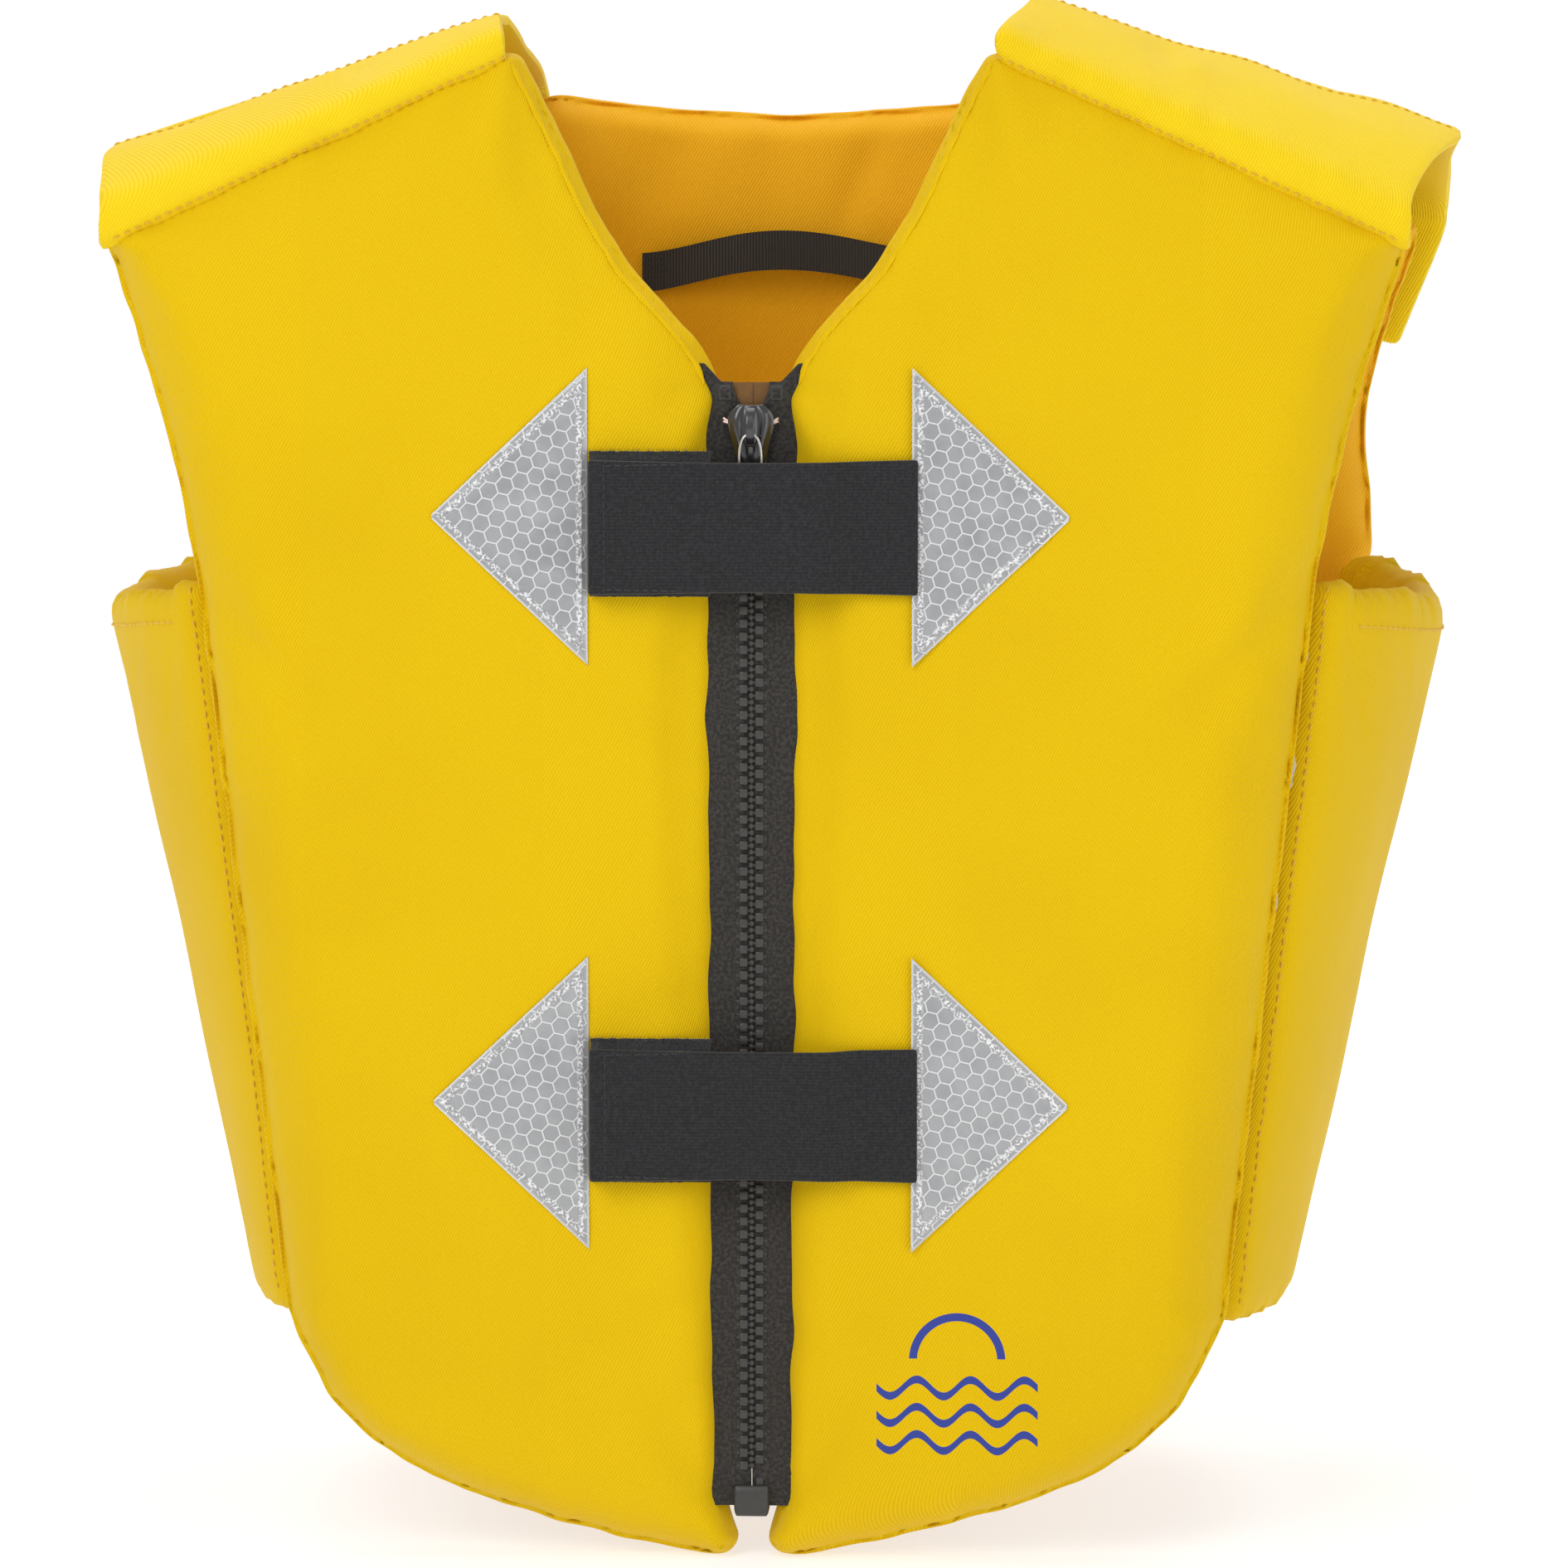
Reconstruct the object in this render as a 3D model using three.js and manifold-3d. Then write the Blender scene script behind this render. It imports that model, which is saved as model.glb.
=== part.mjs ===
// A child's foam buoyancy vest with an open-ended front zip, two elastic closing straps and
// shoulder flaps that close with hook and loop on the back.
// Millimetres, +Z up, the wearer faces -Y, origin at the middle of the lowest hem.
import * as THREE from "three";
import { mergeVertices } from "three/addons/utils/BufferGeometryUtils.js";
import Module from "manifold-3d";

const wasm = await Module();
wasm.setup();

// Driving dimensions
const GAP = 0.4; // left between pieces that touch
const CLOTH = 1.2; // cover fabric with its seam allowance
const FRONT_Y = -95; // outer face of the two front halves
const PANEL_T = 24; // covered foam of the front and the back
const BACK_Y = 95; // outer face of the back
const INNER_Y = BACK_Y - PANEL_T; // inner faces stand at + and - this
const SEAM_TOP = { x: 145, z: 258 }; // side seam at the armhole
const SEAM_FOOT = { x: 122.5, z: 63 }; // side seam at the hem
const ZIP_EDGE_X = 9.2; // folded edge of each half beside the zip
const ZIP_TOP_Z = 305;
const SIDE_T = 12;
const CAP_T = 5; // shoulder cap and flap, cloth over thin foam
const CAP_PEAK_Y = -10; // where the cap ends and the flap starts
const FLAP_FACE_Y = BACK_Y + 3.3; // inner face of a closed flap
const YOKE = { z: 306, depth: 0.6 }; // above it the back's cover is sewn down thinner, for the flaps

const ZIP_Y = FRONT_Y + 8; // mid-plane of the zip, sunk between the folded edges
const TAPE_T = 0.8;
const TAPE = { inner: 4.8, outer: 17, bottom: 15, top: 311 };
const TOOTH = { pitch: 3.4, height: 1.5, head: -1.2, root: 4.4, thick: 2.6, spine: 2.2 };
const TEETH_Z = { bottom: 25, count: 80 };
const SLIDER = { z: 294, width: 12.6, height: 16, gap: 4.2, wall: 1.8 };

const STRAP = { width: 35, thick: 1.6, freeEnd: -41.4, root: 41 };
const STRAP_LEVELS = { upper: 270.5, lower: 118 };
const STRAP_REST = FRONT_Y - 3.3; // inner face of a closed strap over the right half
const PATCH_T = 1.2; // hook tape and loop tape
const REFLECTOR = { baseX: 42, tipX: 83, height: 77, rise: 2.5, thick: 0.8 };

// Materials
const material = (color, roughness, metalness = 0) =>
  new THREE.MeshStandardMaterial({ color, roughness, metalness });
const YELLOW = () => material(0xf6c90e, 0.6);
const FOAM = () => material(0xd9d6cc, 0.95);
const BLACK_WEB = () => material(0x202124, 0.85);
const BLACK_RESIN = () => material(0x17181a, 0.45);
const STEEL = () => material(0x8d8f93, 0.3, 1);
const REFLEX = () => material(0xb9bcc0, 0.35);

const vest = new THREE.Group();

function place(name, geometry, finish) {
  const mesh = new THREE.Mesh(geometry, finish());
  mesh.name = name;
  vest.add(mesh);
}

// Solids and the cuts between them
function solid(geometry) {
  const bare = geometry.index ? geometry.toNonIndexed() : geometry.clone();
  bare.deleteAttribute("normal");
  bare.deleteAttribute("uv");
  const merged = mergeVertices(bare, 1e-3);
  return new wasm.Manifold(
    new wasm.Mesh({
      numProp: 3,
      vertProperties: new Float32Array(merged.attributes.position.array),
      triVerts: new Uint32Array(merged.index.array),
    }),
  );
}

function geometryOf(manifold) {
  const mesh = manifold.getMesh();
  const geometry = new THREE.BufferGeometry();
  geometry.setAttribute("position", new THREE.BufferAttribute(mesh.vertProperties, 3));
  geometry.setIndex(new THREE.BufferAttribute(mesh.triVerts, 1));
  return geometry;
}

// A box from its lowest to its highest corner.
function box(low, high) {
  const size = high.map((value, i) => value - low[i]);
  const middle = high.map((value, i) => (value + low[i]) / 2);
  return new THREE.BoxGeometry(...size).translate(...middle);
}

// A flat outline in x and z, side +1 or -1, made into a slab between two depths.
function slab(points, nearY, farY, side = 1) {
  const shape = new THREE.Shape(points.map((p) => new THREE.Vector2(p.x * side, p.y)));
  const depth = farY - nearY;
  const geometry = new THREE.ExtrudeGeometry(shape, { depth, bevelEnabled: false });
  return geometry.rotateX(Math.PI / 2).translate(0, farY, 0);
}

// The outline moved inwards by a distance; its points run anticlockwise.
function inset(points, distance) {
  const count = points.length;
  return points.map((p, i) => {
    const before = p.clone().sub(points[(i + count - 1) % count]).normalize();
    const after = points[(i + 1) % count].clone().sub(p).normalize();
    const normal = new THREE.Vector2(-before.y - after.y, before.x + after.x).normalize();
    const spread = Math.max(0.35, normal.x * -before.y + normal.y * before.x);
    return p.clone().addScaledVector(normal, distance / spread);
  });
}

// Points of straight runs and of smooth runs, in order round an outline.
const run = (...pairs) => pairs.map(([x, z]) => new THREE.Vector2(x, z));
const smooth = (steps, ...pairs) => new THREE.SplineCurve(run(...pairs)).getPoints(steps);

// Six times the volume that the faces enclose, negative where they face inwards.
function enclosedVolume(position, index) {
  const corner = (i) => new THREE.Vector3().fromArray(position, index[i] * 3);
  let volume = 0;
  for (let i = 0; i < index.length; i += 3) {
    volume += corner(i).dot(corner(i + 1).cross(corner(i + 2)));
  }
  return volume;
}

function turnedOver(index) {
  const turned = Array.from(index);
  for (let i = 0; i < turned.length; i += 3) {
    [turned[i + 1], turned[i + 2]] = [turned[i + 2], turned[i + 1]];
  }
  return turned;
}

// A bent board: sections of the same length, each with its outer and inner line.
function board(sections) {
  const width = sections[0].outer.length;
  const position = [];
  const index = [];
  const outer = (s, i) => s * 2 * width + i;
  const inner = (s, i) => outer(s, i) + width;
  sections.forEach((section) => {
    [...section.outer, ...section.inner].forEach((p) => position.push(p.x, p.y, p.z));
  });
  const quad = (a, b, c, d) => index.push(a, b, c, a, c, d);
  for (let s = 0; s + 1 < sections.length; s += 1) {
    for (let i = 0; i + 1 < width; i += 1) {
      quad(outer(s, i), outer(s, i + 1), outer(s + 1, i + 1), outer(s + 1, i));
      quad(inner(s, i), inner(s + 1, i), inner(s + 1, i + 1), inner(s, i + 1));
    }
    const last = width - 1;
    quad(outer(s, 0), outer(s + 1, 0), inner(s + 1, 0), inner(s, 0));
    quad(outer(s, last), inner(s, last), inner(s + 1, last), outer(s + 1, last));
  }
  const end = sections.length - 1;
  for (let i = 0; i + 1 < width; i += 1) {
    quad(outer(0, i), inner(0, i), inner(0, i + 1), outer(0, i + 1));
    quad(outer(end, i), outer(end, i + 1), inner(end, i + 1), inner(end, i));
  }
  const geometry = new THREE.BufferGeometry();
  geometry.setAttribute("position", new THREE.Float32BufferAttribute(position, 3));
  geometry.setIndex(enclosedVolume(position, index) < 0 ? turnedOver(index) : index);
  return geometry;
}

// The mirror image of a geometry across the middle of the vest, with its faces still outwards.
function mirrored(geometry) {
  const copy = geometry.clone().scale(-1, 1, 1);
  copy.setIndex(turnedOver(copy.index.array));
  return copy;
}

// Places a piece of the wearer's left and its mirror image on the right.
function placePair(name, geometry, finish) {
  const indexed = geometryOf(solid(geometry));
  place(`${name}_left`, indexed, finish);
  place(`${name}_right`, mirrored(indexed), finish);
}

// The two front halves: sewn covers, each round a foam board.
const frontOutline = [
  ...run([ZIP_EDGE_X, 16], [5, 5]),
  ...smooth(12, [6, 1.2], [9, 0], [36, 5], [60, 11.5], [78, 17.5], [97, 27], [111, 40]),
  ...run([SEAM_FOOT.x, SEAM_FOOT.z]),
  ...smooth(8, [SEAM_TOP.x, SEAM_TOP.z], [149.5, 281], [155, 304], [168, 344.5]),
  ...smooth(10, [62, 393], [52, 373], [43, 354], [33, 337], [20, 322.5], [12, 313]),
  ...run([ZIP_EDGE_X, ZIP_TOP_Z]),
];
const FOAM_SETBACK = 9; // the foam stops short of the zip, where the cover is sewn to the tape
{
  const outer = solid(slab(frontOutline, FRONT_Y, FRONT_Y + PANEL_T));
  const hollow = inset(frontOutline, CLOTH);
  const cavity = solid(slab(hollow, FRONT_Y + CLOTH, FRONT_Y + PANEL_T - CLOTH));
  const slotLow = [0, ZIP_Y - TAPE_T / 2 - GAP, TAPE.bottom - GAP];
  const slotHigh = [TAPE.outer + GAP, ZIP_Y + TAPE_T / 2 + GAP, TAPE.top + GAP];
  const slot = solid(box(slotLow, slotHigh));
  placePair("front_cover", geometryOf(outer.subtract(cavity).subtract(slot)), YELLOW);

  const skin = CLOTH + GAP;
  const block = solid(slab(inset(frontOutline, skin), FRONT_Y + skin, FRONT_Y + PANEL_T - skin));
  const setback = solid(box([-1, -200, -1], [ZIP_EDGE_X + FOAM_SETBACK, 0, 420]));
  placePair("front_foam", geometryOf(block.subtract(setback)), FOAM);
}

// The back: one cover round one foam board, cut out for the neck and the arms.
const backHalf = [
  ...smooth(8, [0, 16], [40, 17], [78, 24.5], [100, 35], [114, 50]),
  ...run([124, 68], [163, 256]),
  ...smooth(8, [163, 272], [161, 292], [167, 319], [177, 347]),
  ...smooth(6, [66, 383], [45, 380], [24, 378.5], [0, 377]),
];
const backOutline = [
  ...backHalf,
  ...backHalf.slice(1, -1).reverse().map((p) => new THREE.Vector2(-p.x, p.y)),
];
{
  const outer = solid(slab(backOutline, INNER_Y, BACK_Y));
  const cavity = solid(slab(inset(backOutline, CLOTH), INNER_Y + CLOTH, BACK_Y - CLOTH));
  const turningSlit = solid(box([-30, INNER_Y - 1, 24], [30, INNER_Y + 2, 26]));
  const yoke = solid(box([-200, BACK_Y - YOKE.depth, YOKE.z], [200, BACK_Y + 1, 420]));
  const cover = outer.subtract(cavity).subtract(turningSlit).subtract(yoke);
  const skin = CLOTH + GAP;
  const block = slab(inset(backOutline, skin), INNER_Y + skin, BACK_Y - skin);
  place("back_cover", geometryOf(cover), YELLOW);
  place("back_foam", block, FOAM);
}

// The side panels: boards that bow outwards from the front seam to the back.
const SIDE_LEVELS = [
  { z: 256, seam: SEAM_TOP.x, bow: 187, rear: 162.5 },
  { z: 162, seam: 134, bow: 166, rear: 143.5 },
  { z: 61, seam: 122.5, bow: 143, rear: 124 },
];
const SIDE_DROP = 7; // the upper edge dips where the panel bows out most
const SIDE_STEPS = 12;
const SIDE_END_SPEED = 76; // depth that the bow's curve gains at its ends over its whole parameter
function sideSection(level, shrink, lift) {
  const reach = INNER_Y - GAP;
  const trim = shrink / SIDE_END_SPEED;
  const bent = new THREE.CubicBezierCurve(
    new THREE.Vector2(level.seam, -reach),
    new THREE.Vector2(level.bow, -45),
    new THREE.Vector2(level.bow, 30),
    new THREE.Vector2(level.rear, reach),
  );
  const outer = [];
  const inner = [];
  for (let i = 0; i <= SIDE_STEPS; i += 1) {
    const t = trim + (1 - 2 * trim) * (i / SIDE_STEPS);
    const p = bent.getPoint(t);
    const z = level.z + lift - (level.z > 200 ? SIDE_DROP * Math.sin(Math.PI * t) : 0);
    outer.push(new THREE.Vector3(p.x - shrink, p.y, z));
    inner.push(new THREE.Vector3(p.x - SIDE_T + shrink, p.y, z));
  }
  return { outer, inner };
}
function sideBoard(shrink) {
  const lifts = [-shrink, 0, shrink];
  return board(SIDE_LEVELS.map((level, i) => sideSection(level, shrink, lifts[i])));
}
{
  const outer = solid(sideBoard(0));
  const slit = solid(box([120, 30, 160], [SIDE_LEVELS[1].bow - SIDE_T, 50, 162]));
  const cover = outer.subtract(solid(sideBoard(CLOTH))).subtract(slit);
  placePair("side_cover", geometryOf(cover), YELLOW);
  placePair("side_foam", sideBoard(CLOTH + 2 * GAP), FOAM);
}

// The shoulders: a cap from the front seam to the top, and a flap from there down the back.
const CAP_INNER_EDGE = [
  [62.5, FRONT_Y + 1, 393.8],
  [64, FRONT_Y + 6, 399.5],
  [67, -62, 405.5],
  [70, -36, 408.5],
  [71, CAP_PEAK_Y, 410],
];
const CAP_OUTER_EDGE = [
  [168.5, FRONT_Y + 1, 345.3],
  [170, FRONT_Y + 5, 356],
  [174, -62, 367],
  [177, -36, 372],
  [178, CAP_PEAK_Y, 374],
];
const FLAP_INNER_EDGE = [
  [71, CAP_PEAK_Y + GAP, 410],
  [71, 40, 403],
  [71, 78, 396],
  [71, 97, 388],
  [69, FLAP_FACE_Y + CAP_T, 376],
  [58, FLAP_FACE_Y + CAP_T, 343],
];
const FLAP_OUTER_EDGE = [
  [178, CAP_PEAK_Y + GAP, 374],
  [178, 40, 369],
  [178, 78, 362],
  [178, 97, 354],
  [176, FLAP_FACE_Y + CAP_T, 343],
  [164, FLAP_FACE_Y + CAP_T, 313],
];
// A cloth board between two edges, each given in y and z; the directions in which its first and
// last points find their inner side are stated, and the others are square to the line.
function shoulderBoard(innerEdge, outerEdge, firstNormal, lastNormal) {
  const normalAt = (line, i) => {
    if (i === 0) return firstNormal;
    if (i === line.length - 1) return lastNormal;
    const [, y, z] = line[i + 1];
    const along = new THREE.Vector2(y - line[i - 1][1], z - line[i - 1][2]).normalize();
    return new THREE.Vector2(along.y, -along.x);
  };
  const section = (line) => ({
    outer: line.map((p) => new THREE.Vector3(...p)),
    inner: line.map(([x, y, z], i) => {
      const normal = normalAt(line, i);
      return new THREE.Vector3(x, y + normal.x * CAP_T, z + normal.y * CAP_T);
    }),
  });
  return board([section(outerEdge), section(innerEdge)]);
}
const DOWN = new THREE.Vector2(0, -1);
const BACKWARDS = new THREE.Vector2(1, 0);
const FORWARDS = new THREE.Vector2(-1, 0);
const cap = shoulderBoard(CAP_INNER_EDGE, CAP_OUTER_EDGE, BACKWARDS, DOWN);
const flap = shoulderBoard(FLAP_INNER_EDGE, FLAP_OUTER_EDGE, DOWN, FORWARDS);
placePair("shoulder_cap", cap, YELLOW);
placePair("shoulder_flap", flap, YELLOW);

// Hook tape on each flap and loop tape on the back, one behind the other.
const FLAP_TAPE = run([72, 349], [160, 320], [168, 340], [80, 370]);
const FLAP_TAPE_GAP = 0.3;
{
  const loopNear = BACK_Y - YOKE.depth + FLAP_TAPE_GAP;
  const hookNear = FLAP_FACE_Y - FLAP_TAPE_GAP - PATCH_T;
  placePair("shoulder_loop_tape", slab(FLAP_TAPE, loopNear, loopNear + PATCH_T), YELLOW);
  placePair("shoulder_hook_tape", slab(FLAP_TAPE, hookNear, hookNear + PATCH_T), YELLOW);
}

// The zip: tapes, moulded rows, stops, box and pin, slider and pull.
placePair(
  "zip_tape",
  box([TAPE.inner, ZIP_Y - TAPE_T / 2, TAPE.bottom], [TAPE.outer, ZIP_Y + TAPE_T / 2, TAPE.top]),
  BLACK_WEB,
);
function toothRow(side, start) {
  const top = start + TEETH_Z.count * TOOTH.pitch;
  const points = [[TOOTH.root, start - 1], [TOOTH.root, top]];
  points.push([TOOTH.spine, top]);
  for (let i = TEETH_Z.count - 1; i >= 0; i -= 1) {
    const z = start + i * TOOTH.pitch;
    points.push([TOOTH.spine, z + TOOTH.height], [TOOTH.head, z + TOOTH.height]);
    points.push([TOOTH.head, z], [TOOTH.spine, z]);
  }
  points.push([TOOTH.spine, start - 1]);
  return slab(run(...points), ZIP_Y - TOOTH.thick / 2, ZIP_Y + TOOTH.thick / 2, side);
}
place("zip_teeth_left", toothRow(1, TEETH_Z.bottom), BLACK_RESIN);
place("zip_teeth_right", toothRow(-1, TEETH_Z.bottom - TOOTH.pitch / 2), BLACK_RESIN);
placePair("zip_top_stop", box([5.3, ZIP_Y - 2.2, 303.2], [8.2, ZIP_Y - 0.8, 307]), BLACK_RESIN);
{
  const shell = solid(box([-5, ZIP_Y - 3, 10.5], [5, ZIP_Y + 3, 19.5]));
  const pinWell = solid(box([0.8, ZIP_Y - 1.5, 12], [3.4, ZIP_Y + 1.5, 20]));
  const tapeSlot = solid(box([4.4, ZIP_Y - 1, 10], [5.4, ZIP_Y + 1, 20]));
  const tapeSlotRight = solid(box([-5.4, ZIP_Y - 1, 10], [-4.4, ZIP_Y + 1, 20]));
  place("zip_box", geometryOf(shell.subtract(pinWell).subtract(tapeSlot).subtract(tapeSlotRight)),
    BLACK_RESIN);
  place("zip_pin", box([1.2, ZIP_Y - 1.1, 12.4], [3, ZIP_Y + 1.1, 21]), BLACK_RESIN);
}
{
  const half = SLIDER.width / 2;
  const low = SLIDER.z - SLIDER.height / 2;
  const high = SLIDER.z + SLIDER.height / 2;
  const plate = (side) => {
    const near = ZIP_Y + side * (SLIDER.gap / 2);
    const far = near + side * SLIDER.wall;
    const lip = ZIP_Y + side * (TAPE_T / 2 + 0.4);
    const flat = solid(box([-half, Math.min(near, far), low], [half, Math.max(near, far), high]));
    return [-1, 1].reduce((body, edge) => {
      const inside = Math.min(edge * half, edge * (half - 1.4));
      const flange = box([inside, Math.min(lip, far), low], [inside + 1.4, Math.max(lip, far), high]);
      return body.add(solid(flange));
    }, flat);
  };
  const post = new THREE.CylinderGeometry(1.5, 1.5, SLIDER.gap + SLIDER.wall, 12)
    .translate(0, ZIP_Y, high - 1.9);
  const bailFront = ZIP_Y - SLIDER.gap / 2 - SLIDER.wall;
  const bail = solid(box([-1.5, bailFront - 3.4, low + 4], [1.5, bailFront + 0.5, high - 1]));
  const bailEye = solid(box([-2, bailFront - 2.6, low + 6], [2, bailFront - 0.1, high - 3]));
  const body = plate(-1).add(plate(1)).add(solid(post)).add(bail).subtract(bailEye);
  place("zip_slider", geometryOf(body), BLACK_RESIN);

  // The pull is a wire ring through the slider's eye with a moulded grip on its end.
  const ringY = bailFront - 1.35;
  const ringTop = low + 8.4;
  const wire = 0.7;
  const side = (x) => solid(box([x - wire, ringY - wire, ringTop - 15], [x + wire, ringY + wire, ringTop]));
  const bar = (z) => solid(box([-3.2, ringY - wire, z - wire], [3.2, ringY + wire, z + wire]));
  const grip = solid(box([-4, ringY - 1.1, ringTop - 27], [4, ringY + 1.1, ringTop - 13]));
  const pull = side(-2.9).add(side(2.9)).add(bar(ringTop - wire)).add(grip);
  place("zip_pull", geometryOf(pull), STEEL);
}

// The two straps, rooted beside the left reflectors, with hook tape under the free end.
for (const [level, z] of Object.entries(STRAP_LEVELS)) {
  const low = z - STRAP.width / 2;
  const seat = FRONT_Y - 0.3;
  const path = [[STRAP.freeEnd, STRAP_REST], [18, STRAP_REST], [27, seat], [STRAP.root, seat]];
  const back = path.map(([x, y]) => new THREE.Vector2(x, y));
  const front = back.map((p) => new THREE.Vector2(p.x, p.y - STRAP.thick)).reverse();
  const shape = new THREE.Shape([...back, ...front]);
  const strap = new THREE.ExtrudeGeometry(shape, { depth: STRAP.width, bevelEnabled: false });
  place(`strap_${level}`, strap.translate(0, 0, low), BLACK_WEB);
  const hookFar = FRONT_Y - 0.3 - PATCH_T - 0.3;
  const loopLow = [STRAP.freeEnd, FRONT_Y - 0.3 - PATCH_T, low - 0.5];
  const loopHigh = [-ZIP_EDGE_X - 1, FRONT_Y - 0.3, low + STRAP.width + 2];
  const hookLow = [STRAP.freeEnd + 1, hookFar - PATCH_T, low + 1];
  const hookHigh = [-ZIP_EDGE_X - 8, hookFar, low + STRAP.width - 1];
  place(`strap_loop_tape_${level}`, box(loopLow, loopHigh), BLACK_WEB);
  place(`strap_hook_tape_${level}`, box(hookLow, hookHigh), BLACK_WEB);

  const arrow = run(
    [REFLECTOR.baseX, z + REFLECTOR.rise - REFLECTOR.height / 2],
    [REFLECTOR.tipX, z + REFLECTOR.rise],
    [REFLECTOR.baseX, z + REFLECTOR.rise + REFLECTOR.height / 2],
  );
  placePair(`reflector_${level}`, slab(arrow, seat - REFLECTOR.thick, seat), REFLEX);
}

// The hanging loop inside the back of the neck, sewn down at both ends.
{
  const HANGER = { half: 41, width: 11, thick: 1.2, z: 334, bow: 8, rise: 7 };
  const sections = [0, 1].map((edge) => {
    const line = (extra) => Array.from({ length: 15 }, (_, i) => {
      const t = i / 14;
      const hump = Math.sin(Math.PI * t) ** 2;
      const x = -HANGER.half + 2 * HANGER.half * t;
      const y = INNER_Y - 0.3 - HANGER.bow * hump - extra;
      const z = HANGER.z + HANGER.rise * hump + (edge ? HANGER.width / 2 : -HANGER.width / 2);
      return new THREE.Vector3(x, y, z);
    });
    return { outer: line(HANGER.thick), inner: line(0) };
  });
  place("hanger_loop", board(sections), BLACK_WEB);
}

// The straps and the flaps stand out by different amounts, and the origin is midway between them.
const frontmost = STRAP_REST - STRAP.thick;
const rearmost = FLAP_FACE_Y + CAP_T;
vest.position.y = -(frontmost + rearmost) / 2;

export default vest;
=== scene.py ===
import math
import random
import bmesh
import bpy
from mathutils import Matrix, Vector, kdtree, noise
from mathutils.bvhtree import BVHTree


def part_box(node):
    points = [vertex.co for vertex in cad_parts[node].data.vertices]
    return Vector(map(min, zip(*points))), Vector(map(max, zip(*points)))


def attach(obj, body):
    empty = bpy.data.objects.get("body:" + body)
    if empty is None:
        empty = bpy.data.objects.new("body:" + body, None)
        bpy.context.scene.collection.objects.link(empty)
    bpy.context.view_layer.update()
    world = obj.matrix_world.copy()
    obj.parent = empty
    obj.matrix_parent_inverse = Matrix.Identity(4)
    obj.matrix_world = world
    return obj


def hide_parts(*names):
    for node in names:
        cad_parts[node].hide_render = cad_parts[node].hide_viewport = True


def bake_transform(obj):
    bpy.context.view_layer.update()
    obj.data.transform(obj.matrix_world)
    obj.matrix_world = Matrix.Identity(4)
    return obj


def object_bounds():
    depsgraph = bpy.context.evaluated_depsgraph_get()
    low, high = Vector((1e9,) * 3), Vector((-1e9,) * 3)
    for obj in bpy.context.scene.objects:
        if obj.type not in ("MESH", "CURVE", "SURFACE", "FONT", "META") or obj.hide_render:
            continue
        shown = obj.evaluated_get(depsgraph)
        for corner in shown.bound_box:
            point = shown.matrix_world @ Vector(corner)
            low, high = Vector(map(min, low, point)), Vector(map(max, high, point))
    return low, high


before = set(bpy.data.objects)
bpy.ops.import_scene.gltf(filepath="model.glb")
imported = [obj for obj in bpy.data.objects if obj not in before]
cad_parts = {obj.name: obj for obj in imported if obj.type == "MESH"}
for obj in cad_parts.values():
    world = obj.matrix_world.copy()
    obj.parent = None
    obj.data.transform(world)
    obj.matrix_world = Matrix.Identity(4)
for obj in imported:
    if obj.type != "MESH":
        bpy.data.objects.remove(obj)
cad_low, cad_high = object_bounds()


# ---------------------------------------------------------------- Studio
# A pale floor that rises behind the vest as one sweep of paper, three large soft lights
# and a camera at chest height, a little to the wearer's left and above.
vest_middle = (cad_low + cad_high) / 2
CAMERA_AZIMUTH = math.radians(3.5)
CAMERA_RISE = math.radians(5.0)
CAMERA_DISTANCE = 1.75
FRAME_HEIGHT = 0.4070  # height that the picture takes in at the front of the vest
LOOK_AT = Vector((0.0085, -0.09, 0.2035))


def light(name, place, size, watts, aim):
    lamp = bpy.data.lights.new(name, "AREA")
    lamp.shape = "RECTANGLE"
    lamp.size, lamp.size_y = size
    lamp.energy = watts
    holder = bpy.data.objects.new(name, lamp)
    bpy.context.scene.collection.objects.link(holder)
    holder.location = place
    holder.rotation_euler = (Vector(aim) - Vector(place)).to_track_quat("-Z", "Y").to_euler()


def studio():
    away = Vector((math.sin(CAMERA_AZIMUTH) * math.cos(CAMERA_RISE),
                   -math.cos(CAMERA_AZIMUTH) * math.cos(CAMERA_RISE), math.sin(CAMERA_RISE)))
    lens = bpy.data.cameras.new("camera")
    lens.sensor_width = 36
    lens.lens = lens.sensor_width * CAMERA_DISTANCE / FRAME_HEIGHT
    camera = bpy.data.objects.new("camera", lens)
    bpy.context.scene.collection.objects.link(camera)
    camera.location = LOOK_AT + away * CAMERA_DISTANCE
    camera.rotation_euler = (-away).to_track_quat("-Z", "Y").to_euler()
    bpy.context.scene.camera = camera

    light("key", (-0.9, -1.7, 1.5), (1.3, 1.3), 19, vest_middle)
    light("fill", (1.5, -1.5, 0.7), (1.4, 1.6), 8, vest_middle)
    light("top", (0.0, 0.2, 1.7), (1.6, 1.2), 9, vest_middle)
    world = bpy.data.worlds.new("room")
    world.use_nodes = True
    world.node_tree.nodes["Background"].inputs["Color"].default_value = (1, 1, 1, 1)
    world.node_tree.nodes["Background"].inputs["Strength"].default_value = 0.55
    bpy.context.scene.world = world
    bpy.context.scene.view_settings.view_transform = "Standard"


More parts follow.
